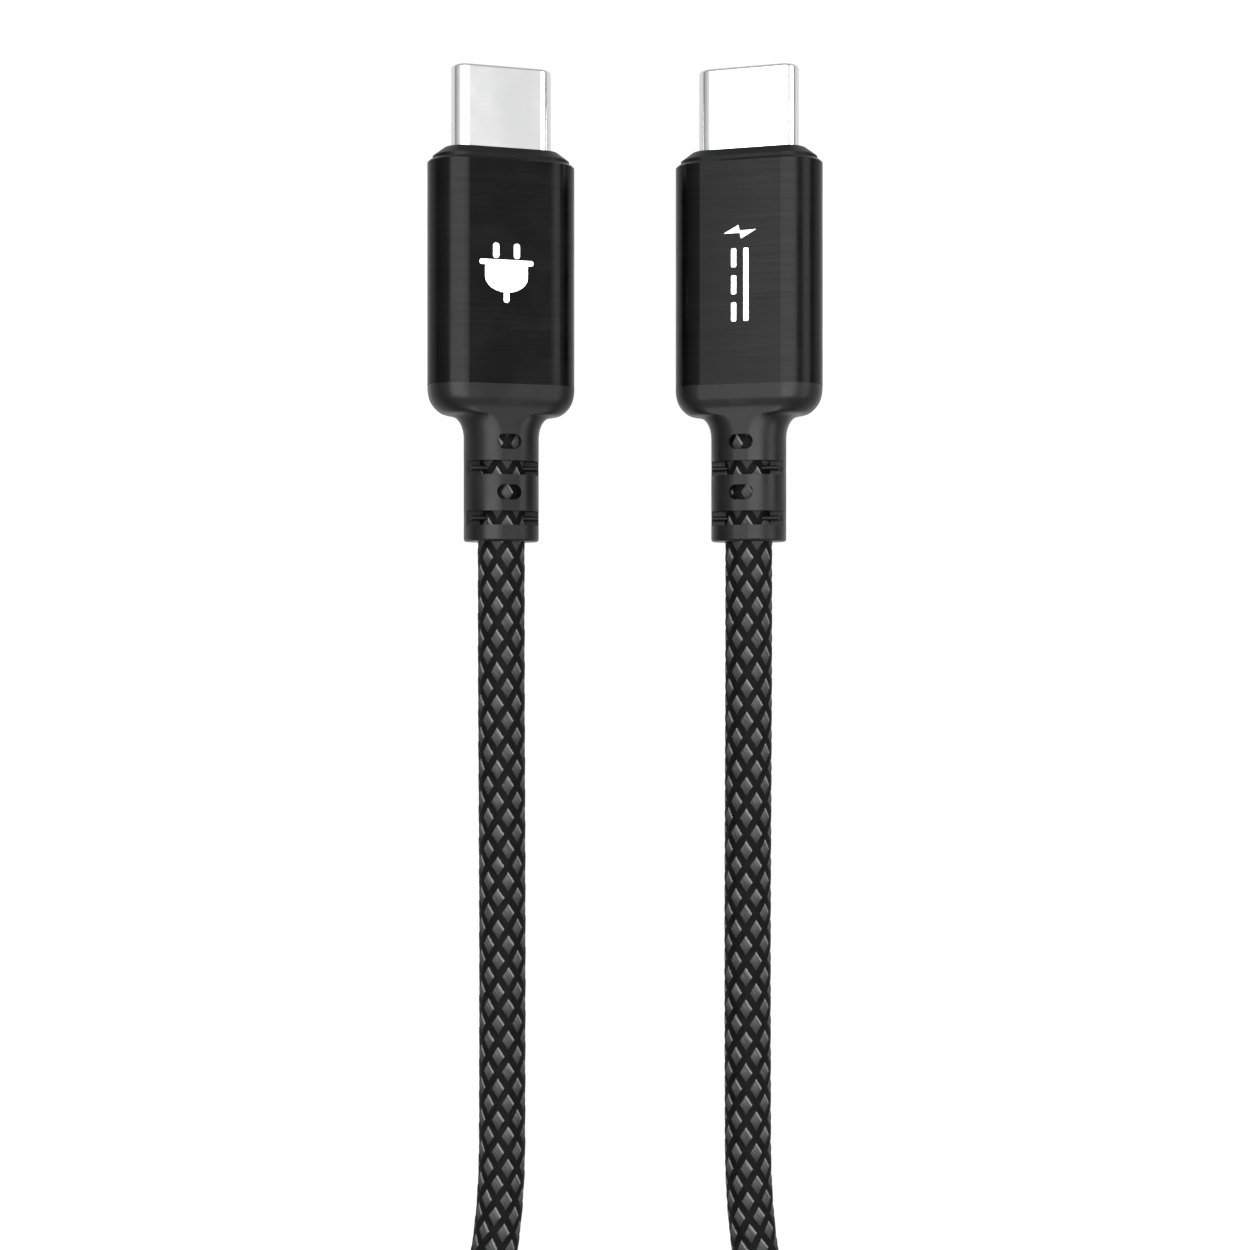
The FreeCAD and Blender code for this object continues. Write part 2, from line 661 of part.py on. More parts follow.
def cable_tie():
    """Hook-and-loop strap round the waist of the hank."""
    edge = HANK_STRAIGHT / 2 - TIE_WIDTH / 2
    slant = math.asin(TIE_WIDTH / 2 / WAIST_RADIUS)
    half_width = FOLD_RADIUS - drawn_in(edge) + BUNDLE_RADIUS / math.cos(slant) + TIE_SIDE_GAP
    hole = (2 * half_width, 2 * (BUNDLE_RADIUS + TIE_GAP))
    start = HANK_TOP - HANK_STRAIGHT / 2 - TIE_WIDTH / 2
    strap = bar(inset(hole, -TIE_THICKNESS), start, start + TIE_WIDTH, HANK_EDGE + TIE_THICKNESS)
    strap = strap.cut(bar(hole, start - CUT_PAST, start + TIE_WIDTH + CUT_PAST, HANK_EDGE))
    strap.translate(V(0, 0, BUNDLE_HEIGHT))
    return strap


def write(name, shape):
    """Write one sub-part, and say so if it isn't made of valid closed solids."""
    if not shape.isValid() or not shape.Solids:
        print("not valid:", name)
    shape.exportStep(os.path.join("parts", name + ".step"))


def main():
    """Make every sub-part and write its file."""
    os.makedirs("parts", exist_ok=True)
    for side, letter in ((-1, "a"), (1, "b")):
        for name, make in PLUG_PARTS.items():
            write(name + "_" + letter, place(make(), side))
        write("cord_lead_" + letter, cord_lead(side))
    write("cord_hank", cord_hank())
    write("cable_tie", cable_tie())


main()
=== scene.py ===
"""Charging cable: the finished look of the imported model.

Two plugs lie side by side, mouths along +Y. One braided cord runs from plug a away from the
mouths, through a tied hank of its spare length, and back up to plug b. All lengths are metres
in the row frame, written as millimetres times MM, but for the marks' plain millimetres.
"""

from __future__ import annotations

import logging
import math
from dataclasses import dataclass, field
from enum import Enum

import bpy
import numpy as np
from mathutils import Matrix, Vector
from numpy.typing import NDArray


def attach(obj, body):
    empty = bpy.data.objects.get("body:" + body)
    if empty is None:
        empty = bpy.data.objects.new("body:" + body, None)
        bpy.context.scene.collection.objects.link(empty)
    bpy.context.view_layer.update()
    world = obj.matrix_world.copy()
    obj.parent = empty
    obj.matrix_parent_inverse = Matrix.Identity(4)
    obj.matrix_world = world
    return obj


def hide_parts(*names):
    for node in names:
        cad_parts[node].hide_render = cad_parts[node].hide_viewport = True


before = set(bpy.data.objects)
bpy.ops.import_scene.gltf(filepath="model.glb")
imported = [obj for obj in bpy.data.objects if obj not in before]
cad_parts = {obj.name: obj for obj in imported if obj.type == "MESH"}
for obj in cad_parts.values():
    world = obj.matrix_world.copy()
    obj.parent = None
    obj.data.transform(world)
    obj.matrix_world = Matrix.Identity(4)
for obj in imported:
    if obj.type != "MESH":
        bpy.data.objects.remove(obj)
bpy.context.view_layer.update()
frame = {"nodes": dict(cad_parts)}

Array = NDArray[np.float64]
Whole = NDArray[np.int64]
Pair = tuple[float, float]
Triple = tuple[float, float, float]
Ramp = tuple[float, float, float, float]
Bar = tuple[float, float, float, float, float]
Colour = Triple
Socket = bpy.types.NodeSocket

MM = 0.001
UP = np.array((0.0, 0.0, 1.0))
ACROSS_STRAP = np.array((0.0, 1.0, 0.0))
FULL_TURN = 2.0 * math.pi
PLUG_MIDDLE = 9.95 * MM
PLUG_AXIS_HEIGHT = 3.8506 * MM
BOOT_END = -19.025 * MM
HANK_HEIGHT = 6.4325 * MM
NOISE_SPAN = (0.3, 0.7)
SLOW_PER_METRE = 260.0
log = logging.getLogger("charging_cable")


class Side(Enum):
    """Which plug: a lies on the left and b on the right."""

    A = -1
    B = 1

    @property
    def letter(self) -> str:
        """The letter that ends this plug's node names."""
        return self.name.lower()


class Cap(Enum):
    """How the two ends of a tube are closed."""

    FAN = "a fan of triangles to the middle"
    FLAT = "one flat face"


class Grain(Enum):
    """The direction of a finish's fine texture, as its scale along X, Y and Z."""

    EVEN = (1.0, 1.0, 1.0)
    ACROSS_PLUG = (0.012, 1.0, 0.012)
    ALONG_PLUG = (1.0, 0.02, 1.0)
    LAYERED = (0.3, 0.3, 1.0)


# ---- Meshes


def smoothstep(low: float, high: float, value: Array) -> Array:
    """The ramp 3t^2 - 2t^3 of each value: 0 at low, and 1 at high, which may be below low."""
    t = np.clip((value - low) / (high - low), 0.0, 1.0)
    return t * t * (3.0 - 2.0 * t)


def unit(vectors: Array) -> Array:
    """Each vector divided by its own length."""
    return vectors / np.linalg.norm(vectors, axis=-1, keepdims=True)


def in_scene(name: str, data: bpy.types.ID) -> bpy.types.Object:
    """Puts data in the scene as a new object.

    Args:
        name: the object's name.
        data: its mesh, curve, light or camera.

    Returns:
        The new object.
    """
    made = bpy.data.objects.new(name, data)
    bpy.context.scene.collection.objects.link(made)
    return made


@dataclass
class Surface:
    """A surface's points and its faces, as corner numbers end to end and a count for each face."""

    points: Array
    corners: Whole
    counts: Whole
    uv: Array | None = None

    @property
    def starts(self) -> Whole:
        """Where each face's corners start."""
        return np.cumsum(self.counts) - self.counts

    def volume(self) -> float:
        """The signed volume: each face as a fan of triangles, a third of point dot area summed.

        Returns:
            A positive number when the faces point outwards.
        """
        starts = self.starts
        total = 0.0
        middle = self.points.mean(axis=0)
        for step in range(1, int(self.counts.max()) - 1):
            has = self.counts > step + 1
            one, two, three = (
                self.points[self.corners[starts[has] + offset]] - middle
                for offset in (0, step, step + 1)
            )
            total += float(np.einsum("ij,ij->", one, np.cross(two, three)) / 6.0)
        return total

    def facing_out(self) -> Surface:
        """The same surface with its faces turned to point outwards.

        Returns:
            This surface, or one whose faces list their corners the other way round.
        """
        if self.volume() >= 0.0:
            return self
        place = np.arange(len(self.corners))
        face = np.repeat(np.arange(len(self.counts)), self.counts)
        turned = self.starts[face] * 2 + self.counts[face] - 1 - place
        uv = None if self.uv is None else self.uv[turned]
        return Surface(self.points, self.corners[turned], self.counts, uv)

    def piece(
        self, name: str, material: bpy.types.Material, slot: str, smooth: bool = True
    ) -> bpy.types.Object:
        """Puts the surface in the scene as a piece that rides on the model's one body.

        Args:
            name: the piece's name.
            material: its material.
            slot: the record's slot that the finish belongs to; not used.
            smooth: whether its faces are shaded smooth.

        Returns:
            The new object.
        """
        surface = self.facing_out()
        mesh = bpy.data.meshes.new(name)
        mesh.vertices.add(len(surface.points))
        mesh.vertices.foreach_set("co", surface.points.ravel())
        mesh.loops.add(len(surface.corners))
        mesh.loops.foreach_set("vertex_index", surface.corners)
        mesh.polygons.add(len(surface.counts))
        mesh.polygons.foreach_set("loop_start", surface.starts)
        mesh.polygons.foreach_set("use_smooth", np.full(len(surface.counts), smooth))
        if surface.uv is not None:
            layer = mesh.uv_layers.new(name="pattern")
            layer.data.foreach_set("uv", surface.uv.ravel())
        mesh.update(calc_edges=True)
        mesh.validate()
        mesh.materials.append(material)
        made = in_scene(name, mesh)
        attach(made, "root")
        triangles = int((surface.counts - 2).sum())
        log.info("%s: %d points, %d triangles", name, len(surface.points), triangles)
        return made


def joined(parts: list[Surface]) -> Surface:
    """Several closed surfaces as one, each turned to face outwards first.

    Args:
        parts: the surfaces, none of them with a UV map.

    Returns:
        One surface with every part's points and faces.
    """
    parts = [part.facing_out() for part in parts]
    shifts = np.cumsum([0] + [len(part.points) for part in parts[:-1]])
    return Surface(
        np.concatenate([part.points for part in parts]),
        np.concatenate([part.corners + shift for part, shift in zip(parts, shifts)]),
        np.concatenate([part.counts for part in parts]),
    )


def tube(rings: Array, cap: Cap, pattern: Array | None = None) -> Surface:
    """Skins rings into a closed tube: point i of each ring joins point i of the next.

    Args:
        rings: an array of rings by points by 3.
        cap: how the ends are closed.
        pattern: for each ring and each point, with the first point repeated at the end, its UV.

    Returns:
        The closed surface.
    """
    count, around = rings.shape[:2]
    ring, point = np.meshgrid(np.arange(count - 1), np.arange(around), indexing="ij")
    after = (point + 1) % around
    low, high = ring * around, (ring + 1) * around
    walls = np.stack((low + point, low + after, high + after, high + point), axis=-1).reshape(-1, 4)
    first = np.arange(around)
    last = first + (count - 1) * around
    points = rings.reshape(-1, 3)
    if cap is Cap.FLAT:
        ends = np.concatenate((first[::-1], last))
        counts = np.concatenate((np.full(len(walls), 4), (around, around)))
    else:
        middles = count * around + np.arange(2)
        points = np.concatenate((points, rings[[0, -1]].mean(axis=1)))
        low = np.stack((np.full(around, middles[0]), np.roll(first, -1), first), axis=-1)
        high = np.stack((np.full(around, middles[1]), last, np.roll(last, -1)), axis=-1)
        ends = np.concatenate((low, high)).ravel()
        counts = np.concatenate((np.full(len(walls), 4), np.full(2 * around, 3)))
    corners = np.concatenate((walls.ravel(), ends))
    uv = None
    if pattern is not None:
        places = ((ring, point), (ring, point + 1), (ring + 1, point + 1), (ring + 1, point))
        walls_uv = np.stack([pattern[place] for place in places], axis=-2).reshape(-1, 2)
        uv = np.concatenate((walls_uv, np.zeros((len(ends), 2))))
    return Surface(points, corners, counts, uv)


# ---- Finishes


class NodeSheet:
    """A material's nodes, with short ways to add one and wire it up."""

    def __init__(self, name: str) -> None:
        """Starts a material that holds a shader and its output.

        Args:
            name: the material's name.
        """
        self.material = bpy.data.materials.new(name)
        self.material.use_nodes = True
        self.tree = self.material.node_tree
        self.tree.nodes.clear()
        output = self.tree.nodes.new("ShaderNodeOutputMaterial")
        self.shader = self.tree.nodes.new("ShaderNodeBsdfPrincipled")
        self.tree.links.new(self.shader.outputs["BSDF"], output.inputs["Surface"])

    def set(self, node: bpy.types.Node, key: str | int, value: object) -> None:
        """Sets or links one of a node's sockets.

        Args:
            node: the node.
            key: the socket's name or number.
            value: a number, a colour, or an output socket to link from.
        """
        if isinstance(value, Socket):
            self.tree.links.new(value, node.inputs[key])
        else:
            node.inputs[key].default_value = value

    def shade(self, inputs: dict[str, object]) -> bpy.types.Material:
        """Sets or links the shader's sockets.

        Args:
            inputs: a value or an output socket for each.

        Returns:
            The finished material.
        """
        for key, value in inputs.items():
            self.set(self.shader, key, value)
        return self.material

    def add(
        self, kind: str, inputs: dict[str | int, object] | None = None, **settings: object
    ) -> bpy.types.Node:
        """Adds a node.

        Args:
            kind: the node's type name without ShaderNode.
            inputs: values or output sockets for its sockets.
            settings: the node's own properties.

        Returns:
            The new node.
        """
        node = self.tree.nodes.new("ShaderNode" + kind)
        for key, value in settings.items():
            setattr(node, key, value)
        for key, value in (inputs or {}).items():
            self.set(node, key, value)
        return node

    def math(self, operation: str, *values: object) -> Socket:
        """One arithmetic node's result, from its operation and its inputs in order."""
        return self.add("Math", dict(enumerate(values)), operation=operation).outputs[0]

    def ramp(
        self, value: object, low: float, high: float, start: float = 0.0, end: float = 1.0
    ) -> Socket:
        """A smooth ramp of a value, from start at low to end at high."""
        inputs = {0: value, 1: low, 2: high, 3: start, 4: end}
        return self.add("MapRange", inputs, interpolation_type="SMOOTHSTEP").outputs[0]

    def noise(self, where: object, scale: float, detail: float = 2.0) -> Socket:
        """A noise texture of 0 to 1, with scale lumps to the unit and detail finer layers."""
        return self.add("TexNoise", {"Vector": where, "Scale": scale, "Detail": detail}).outputs[0]

    def blend(self, factor: object, *colours: object) -> Socket:
        """Two colours mixed.

        Args:
            factor: 0 for the first colour and 1 for the second.
            colours: the two colours, as three numbers or an output socket each.

        Returns:
            The output socket.
        """
        node = self.add("Mix", {0: factor}, data_type="RGBA", clamp_factor=True)
        for key, colour in zip((6, 7), colours):
            self.set(node, key, (*colour, 1.0) if isinstance(colour, tuple) else colour)
        return node.outputs[2]

    def spread(self, factor: object, colour: Colour, drift: float) -> Socket:
        """A colour that goes from darker at 0 to lighter at 1, by a share of itself each way."""
        ways = (1.0 - drift, 1.0 + drift)
        return self.blend(factor, *(tuple(part * way for part in colour) for way in ways))

    def bump(self, height: object, depth: float) -> Socket:
        """A bump from a height of about 0 to 1, where 1 stands depth metres high."""
        return self.add("Bump", {"Height": height, "Distance": depth, "Strength": 1.0}).outputs[0]


@dataclass(frozen=True)
class Finish:
    """A hard finish: a colour that drifts a little, a fine grain, and a slow unevenness of gloss.

    The grain is noise on object coordinates, stretched in the direction of its Grain. Parts are
    the plugs' nodes that wear the finish, without their letter.
    """

    name: str
    colour: Colour
    roughness: float
    parts: tuple[str, ...] = ()
    metallic: float = 0.0
    specular: float = 0.5
    grain: Grain = Grain.EVEN
    grain_per_metre: float = 6000.0
    grain_depth: float = 0.004 * MM
    drift: float = 0.15
    gloss_drift: float = 0.06
    shine_drift: float = 0.0
    coat: float = 0.0

    def material(self) -> bpy.types.Material:
        """Makes the finish's material.

        Returns:
            The material.
        """
        sheet = NodeSheet(self.name)
        place = sheet.add("TexCoord").outputs["Object"]
        stretched = sheet.add("Mapping", {"Vector": place, "Scale": self.grain.value}).outputs[0]
        fine = sheet.noise(stretched, self.grain_per_metre, 3.0)
        slow = sheet.noise(place, SLOW_PER_METRE)
        shares = (sheet.math("MULTIPLY", fine, 0.6), sheet.math("MULTIPLY", slow, 0.4))
        mixed = sheet.ramp(sheet.math("ADD", *shares), *NOISE_SPAN)
        gloss = (self.roughness - self.gloss_drift, self.roughness + self.gloss_drift)
        shine = (self.specular * (1.0 - self.shine_drift), self.specular * (1.0 + self.shine_drift))
        return sheet.shade(
            {
                "Base Color": sheet.spread(mixed, self.colour, self.drift),
                "Roughness": sheet.ramp(slow, *NOISE_SPAN, *gloss),
                "Metallic": self.metallic,
                "Specular IOR Level": sheet.ramp(fine, 0.35, 0.65, *shine),
                "Coat Weight": self.coat,
                "Normal": sheet.bump(fine, self.grain_depth),
            }
        )


@dataclass(frozen=True)
class BraidFinish:
    """Two-tone braid. On the braid's UV, a = U + V and b = U - V count its two sets of bands.

    A grey float shows where both a and b are within half_diamond of a whole number. Its colour
    carries painted shade, darker towards one corner, and a painted highlight along one flank.
    The black bands fill the rest. Filaments run along a in the floats, and along both ways in the
    bands: filaments is the noise's scale along them and across them. The painted shade, the
    painted highlight's flank and the bands' lighter filaments are the two ends of a ramp. The
    mottle and the speckle are a ramp's two ends and its results there. The roughness is a ramp's
    results.
    """

    name: str = "cord_braid"
    black: Colour = (0.0012, 0.0012, 0.0013)
    black_light: Colour = (0.0036, 0.0036, 0.0039)
    # painted shade: the dark end of each float's grey, towards one corner; the same dark grey also makes the
    # speckles
    grey_painted_shade_and_speckle: Colour = (0.016, 0.016, 0.0163)
    grey: Colour = (0.053, 0.053, 0.0534)
    # painted highlight: the lighter grey painted along one flank of each float
    grey_painted_highlight: Colour = (0.105, 0.105, 0.105)
    half_diamond: float = 0.3
    soft_edge: float = 0.03
    frayed: float = 0.1
    filaments: Pair = (1.4, 12.0)
    # where each float's painted shade runs from its dark end to plain grey
    fade: Pair = (-0.5, 0.45)
    # where the painted highlight rises across the float's flank
    painted_highlight_flank: Pair = (0.15, 0.27)
    mottle: Ramp = (0.2, 0.5, 0.75, 1.0)
    speckle: Ramp = (0.35, 0.65, 0.0, 0.7)
    band_light: Pair = (0.35, 0.7)
    roughness: Pair = (0.54, 0.72)
    specular: float = 0.04
    filament_depth: float = 0.012 * MM

    def filament_noise(self, sheet: NodeSheet, a: object, b: object, along_a: bool) -> Socket:
        """Noise drawn out along one set of bands.

        Args:
            sheet: the material's nodes.
            a: places counted in bands of the first set.
            b: places counted in bands of the second set.
            along_a: whether it is drawn out along a.

        Returns:
            The output socket.
        """
        scales = self.filaments if along_a else self.filaments[::-1]
        scaled = [sheet.math("MULTIPLY", way, scale) for way, scale in zip((a, b), scales)]
        return sheet.noise(sheet.add("CombineXYZ", dict(enumerate(scaled))).outputs[0], 1.0)

    def material(self) -> bpy.types.Material:
        """Makes the braid's material.

        Returns:
            The material.
        """
        sheet = NodeSheet(self.name)
        split = sheet.add("SeparateXYZ", {0: sheet.add("UVMap", uv_map="pattern").outputs[0]})
        a, b = (sheet.math(way, split.outputs[0], split.outputs[1]) for way in ("ADD", "SUBTRACT"))
        near_a, near_b = (sheet.math("PINGPONG", way, 0.5) for way in (a, b))
        signed_a, signed_b = (sheet.math("WRAP", way, 0.5, -0.5) for way in (a, b))
        threads_a, threads_b = (self.filament_noise(sheet, a, b, along_a) for along_a in (True, False))
        fray = sheet.math("MULTIPLY", sheet.math("SUBTRACT", threads_b, 0.5), self.frayed)
        edges = (self.half_diamond + self.soft_edge, self.half_diamond - self.soft_edge)
        within = [sheet.ramp(sheet.math("ADD", near, fray), *edges) for near in (near_a, near_b)]
        over = sheet.math("GREATER_THAN", near_b, near_a)
        shown_a = sheet.math("MULTIPLY", threads_a, over)
        shown_b = sheet.math("MULTIPLY", threads_b, sheet.math("SUBTRACT", 1.0, over))
        threads = sheet.math("ADD", shown_a, shown_b)
        # painted shade: each float's grey runs darker towards one corner, and the same dark grey speckles it
        fade = sheet.ramp(sheet.math("SUBTRACT", signed_b, signed_a), *self.fade)
        plain = sheet.blend(fade, self.grey_painted_shade_and_speckle, self.grey)
        speckled = sheet.blend(sheet.ramp(threads_a, *self.speckle), plain, self.grey_painted_shade_and_speckle)
        mottle = sheet.ramp(threads_a, *self.mottle)
        # painted highlight: a lighter grey along one flank of each float, mottled by the threads
        painted_highlight = sheet.math("MULTIPLY", sheet.ramp(signed_b, *self.painted_highlight_flank), mottle)
        floats = sheet.blend(painted_highlight, speckled, self.grey_painted_highlight)
        bands = sheet.blend(sheet.ramp(threads, *self.band_light), self.black, self.black_light)
        return sheet.shade(
            {
                "Base Color": sheet.blend(sheet.math("MULTIPLY", *within), bands, floats),
                "Roughness": sheet.ramp(threads, *NOISE_SPAN, *self.roughness),
                "Specular IOR Level": self.specular,
                "Normal": sheet.bump(threads, self.filament_depth),
            }
        )


@dataclass(frozen=True)
class StrapFinish:
    """Black hook-and-loop strap: curled pile on a plain weave, on the strap's UV in millimetres."""

    name: str = "tie_fabric"
    dark: Colour = (0.003, 0.003, 0.0034)
    light: Colour = (0.02, 0.02, 0.022)
    pile_per_mm: float = 3.2
    weave_per_mm: float = 2.4
    loop_share: float = 1.4
    fuzz_share: float = 0.6
    weave_share: float = 0.25
    light_span: Pair = (0.35, 1.05)
    roughness: Pair = (0.72, 0.92)
    specular: float = 0.08
    sheen: float = 0.03
    pile_depth: float = 0.16 * MM

    def material(self) -> bpy.types.Material:
        """Makes the strap's material.

        Returns:
            The material.
        """
        sheet = NodeSheet(self.name)
        uv = sheet.add("UVMap", uv_map="pattern").outputs[0]
        cells = {"Vector": uv, "Scale": self.pile_per_mm, "Randomness": 0.9}
        loops = sheet.add("TexVoronoi", cells, feature="DISTANCE_TO_EDGE").outputs["Distance"]
        fuzz = sheet.noise(uv, self.pile_per_mm * 4.0, 3.0)
        split = sheet.add("SeparateXYZ", {0: uv})
        rows, picks = (sheet.math("PINGPONG", split.outputs[way], 0.5 / self.weave_per_mm) for way in (0, 1))
        weave = sheet.math("MULTIPLY", sheet.math("ADD", rows, picks), self.weave_per_mm)
        shares = ((loops, self.loop_share), (fuzz, self.fuzz_share), (weave, self.weave_share))
        parts = [sheet.math("MULTIPLY", part, share) for part, share in shares]
        height = sheet.math("ADD", sheet.math("ADD", *parts[:2]), parts[2])
        return sheet.shade(
            {
                "Base Color": sheet.blend(sheet.ramp(height, *self.light_span), self.dark, self.light),
                "Roughness": sheet.ramp(fuzz, *NOISE_SPAN, *self.roughness),
                "Specular IOR Level": self.specular,
                "Sheen Weight": self.sheen,
                "Sheen Roughness": 0.6,
                "Normal": sheet.bump(height, self.pile_depth),
            }
        )


def metal(name: str, colour: Colour, roughness: float, *parts: str, **changes: object) -> Finish:
    """A metal finish, drawn or rolled along the plug, with changes to the usual fields."""
    usual = {"metallic": 1.0, "grain": Grain.ALONG_PLUG, "drift": 0.06, "grain_depth": 0.001 * MM}
    return Finish(name, colour, roughness, parts, **(usual | changes))


HARD_FINISHES = {
    finish.name: finish
    for finish in (
        metal(
            "shell_steel", (0.57, 0.57, 0.572), 0.17, "shell",
            grain_per_metre=9000.0, grain_depth=0.00012 * MM, drift=0.012, gloss_drift=0.02,
        ),
        Finish("black_plastic", (0.012, 0.012, 0.013), 0.42, ("contact_housing",)),
        metal("contact_gold", (0.83, 0.58, 0.22), 0.2, "contacts_upper", "contacts_lower"),
        metal("spring_steel", (0.52, 0.52, 0.53), 0.28, "latch_plate", "ground_springs", drift=0.05),
        Finish(
            "card_laminate", (0.010, 0.085, 0.034), 0.38, ("circuit_card",),
            grain=Grain.LAYERED, drift=0.2, coat=0.3,
        ),
        Finish("chip_epoxy", (0.016, 0.016, 0.017), 0.55, ("marker_chip",)),
        Finish("passive_ceramic", (0.30, 0.22, 0.15), 0.5, ("card_passives",)),
        metal("can_steel", (0.58, 0.57, 0.55), 0.34, "shield_can_upper", "shield_can_lower"),
        Finish("power_insulation", (0.42, 0.018, 0.014), 0.4, ("power_wires",)),
        Finish("signal_insulation", (0.55, 0.55, 0.53), 0.4, ("signal_wires",)),
        Finish("inner_plastic", (0.05, 0.05, 0.052), 0.5, ("inner_mould",)),
        metal(
            "ferrule_steel", (0.50, 0.48, 0.45), 0.36, "crimp_ferrule",
            grain=Grain.EVEN, drift=0.08, grain_depth=0.002 * MM,
        ),
        Finish(
            "sleeve_aluminium", (0.0011, 0.0011, 0.0012), 0.23, ("sleeve",), specular=0.09,
            grain=Grain.ACROSS_PLUG, grain_per_metre=11000.0, grain_depth=0.003 * MM, drift=0.4,
            gloss_drift=0.04, shine_drift=0.1,
        ),
        Finish(
            "nose_plastic", (0.0018, 0.0018, 0.002), 0.4, ("nose",), specular=0.09,
            grain_per_metre=15000.0, grain_depth=0.002 * MM,
        ),
        Finish(
            "boot_plastic", (0.0036, 0.0036, 0.0039), 0.36, ("boot",), specular=0.15,
            grain_per_metre=15000.0, grain_depth=0.003 * MM,
        ),
        Finish("cord_jacket", (0.02, 0.02, 0.021), 0.55),
        Finish("print_ink", (0.86, 0.86, 0.86), 0.6, drift=0.02, grain_depth=0.001 * MM),
        Finish("tie_thread", (0.018, 0.018, 0.019), 0.7),
    )
}


# ---- The cord


@dataclass(frozen=True)
class Hank:
    """The spare length, folded into a hank of round bundles drawn in at the tie.

    Its bundle's centre runs round a stadium: down the left side, round the far fold, up the
    right side and round the near fold. The strands stand in a ring about that centre, and each
    round moves to the next place on the ring as it goes.
    """

    strands: int = 5
    top: float = -121.5 * MM
    straight: float = 31.0 * MM
    fold: float = 14.6325 * MM
    waist: float = 4.4 * MM
    waist_radius: float = 14.75 * MM
    ring: float = 3.2325 * MM
    height: float = HANK_HEIGHT
    first_angle: float = math.radians(-18.0)
    whole_rounds: int = 4
    points_per_round: int = 32

    @property
    def round_length(self) -> float:
        """The length of the stadium."""
        return 2.0 * self.straight + FULL_TURN * self.fold

    @property
    def rounds(self) -> float:
        """How often the cord goes round, from the left side's top to the right side's top."""
        return self.whole_rounds + (2.0 * self.straight + math.pi * self.fold) / self.round_length

    def drawn_in(self, along: Array) -> Array:
        """How far a side is drawn in: two arcs that meet a quarter of the way along and mirror.

        Args:
            along: distances along the side.

        Returns:
            The distances inwards.
        """
        near = np.minimum(along, self.straight - along)
        radius = self.waist_radius
        outer = radius - np.sqrt(np.maximum(radius**2 - near**2, 0.0))
        rest = self.straight / 2.0 - near
        inner = self.waist - radius + np.sqrt(np.maximum(radius**2 - rest**2, 0.0))
        return np.where(near <= self.straight / 4.0, outer, inner)

    def centre(self, rounds: Array) -> Array:
        """The bundle's centre after some rounds, on the two sides and the two folds in turn.

        Args:
            rounds: how many rounds have been made.

        Returns:
            The points.
        """
        distance = np.mod(rounds, 1.0) * self.round_length
        side, bend = self.straight, math.pi * self.fold
        left = np.clip(distance, 0.0, side)
        right = np.clip(distance - side - bend, 0.0, side)
        far = math.pi + np.clip((distance - side) / self.fold, 0.0, math.pi)
        near = np.clip((distance - 2.0 * side - bend) / self.fold, 0.0, math.pi)
        stretch = [distance < side, distance < side + bend, distance < 2.0 * side + bend]
        x = np.select(
            stretch,
            [-self.fold + self.drawn_in(left), self.fold * np.cos(far), self.fold - self.drawn_in(right)],
            self.fold * np.cos(near),
        )
        y = np.select(
            stretch,
            [self.top - left, self.top - side + self.fold * np.sin(far), self.top - side + right],
            self.top + self.fold * np.sin(near),
        )
        return np.stack((x, y, np.full_like(x, self.height)), axis=-1)

    def strand(self, rounds: Array) -> Array:
        """The cord's own line: the centre, plus a ring's radius at an angle that turns with it.

        Args:
            rounds: how many rounds have been made.

        Returns:
            The points.
        """
        tiny = 1e-4
        ahead = unit(self.centre(rounds + tiny) - self.centre(rounds - tiny))
        ahead[rounds <= tiny] = (0.0, -1.0, 0.0)
        ahead[rounds >= self.rounds - tiny] = (0.0, 1.0, 0.0)
        outward = np.cross(ahead, UP)
        angle = (self.first_angle + rounds * FULL_TURN / self.strands)[:, None]
        return self.centre(rounds) + self.ring * (outward * np.cos(angle) + UP * np.sin(angle))

    def line(self) -> Array:
        """The route's points through the hank.

        Returns:
            The points, from the left side's top to the right side's top.
        """
        count = math.ceil(self.rounds * self.points_per_round)
        rounds = np.linspace(0.0, self.rounds, count)
        line = self.strand(rounds)
        last = self.centre(np.array([self.rounds - 1e-6]))[0] * (1.0, 0.0, 1.0) + (0.0, self.top, 0.0)
        angle = self.first_angle + self.rounds * FULL_TURN / self.strands
        line[-1] = last + self.ring * np.array((math.cos(angle), 0.0, math.sin(angle)))
        return line


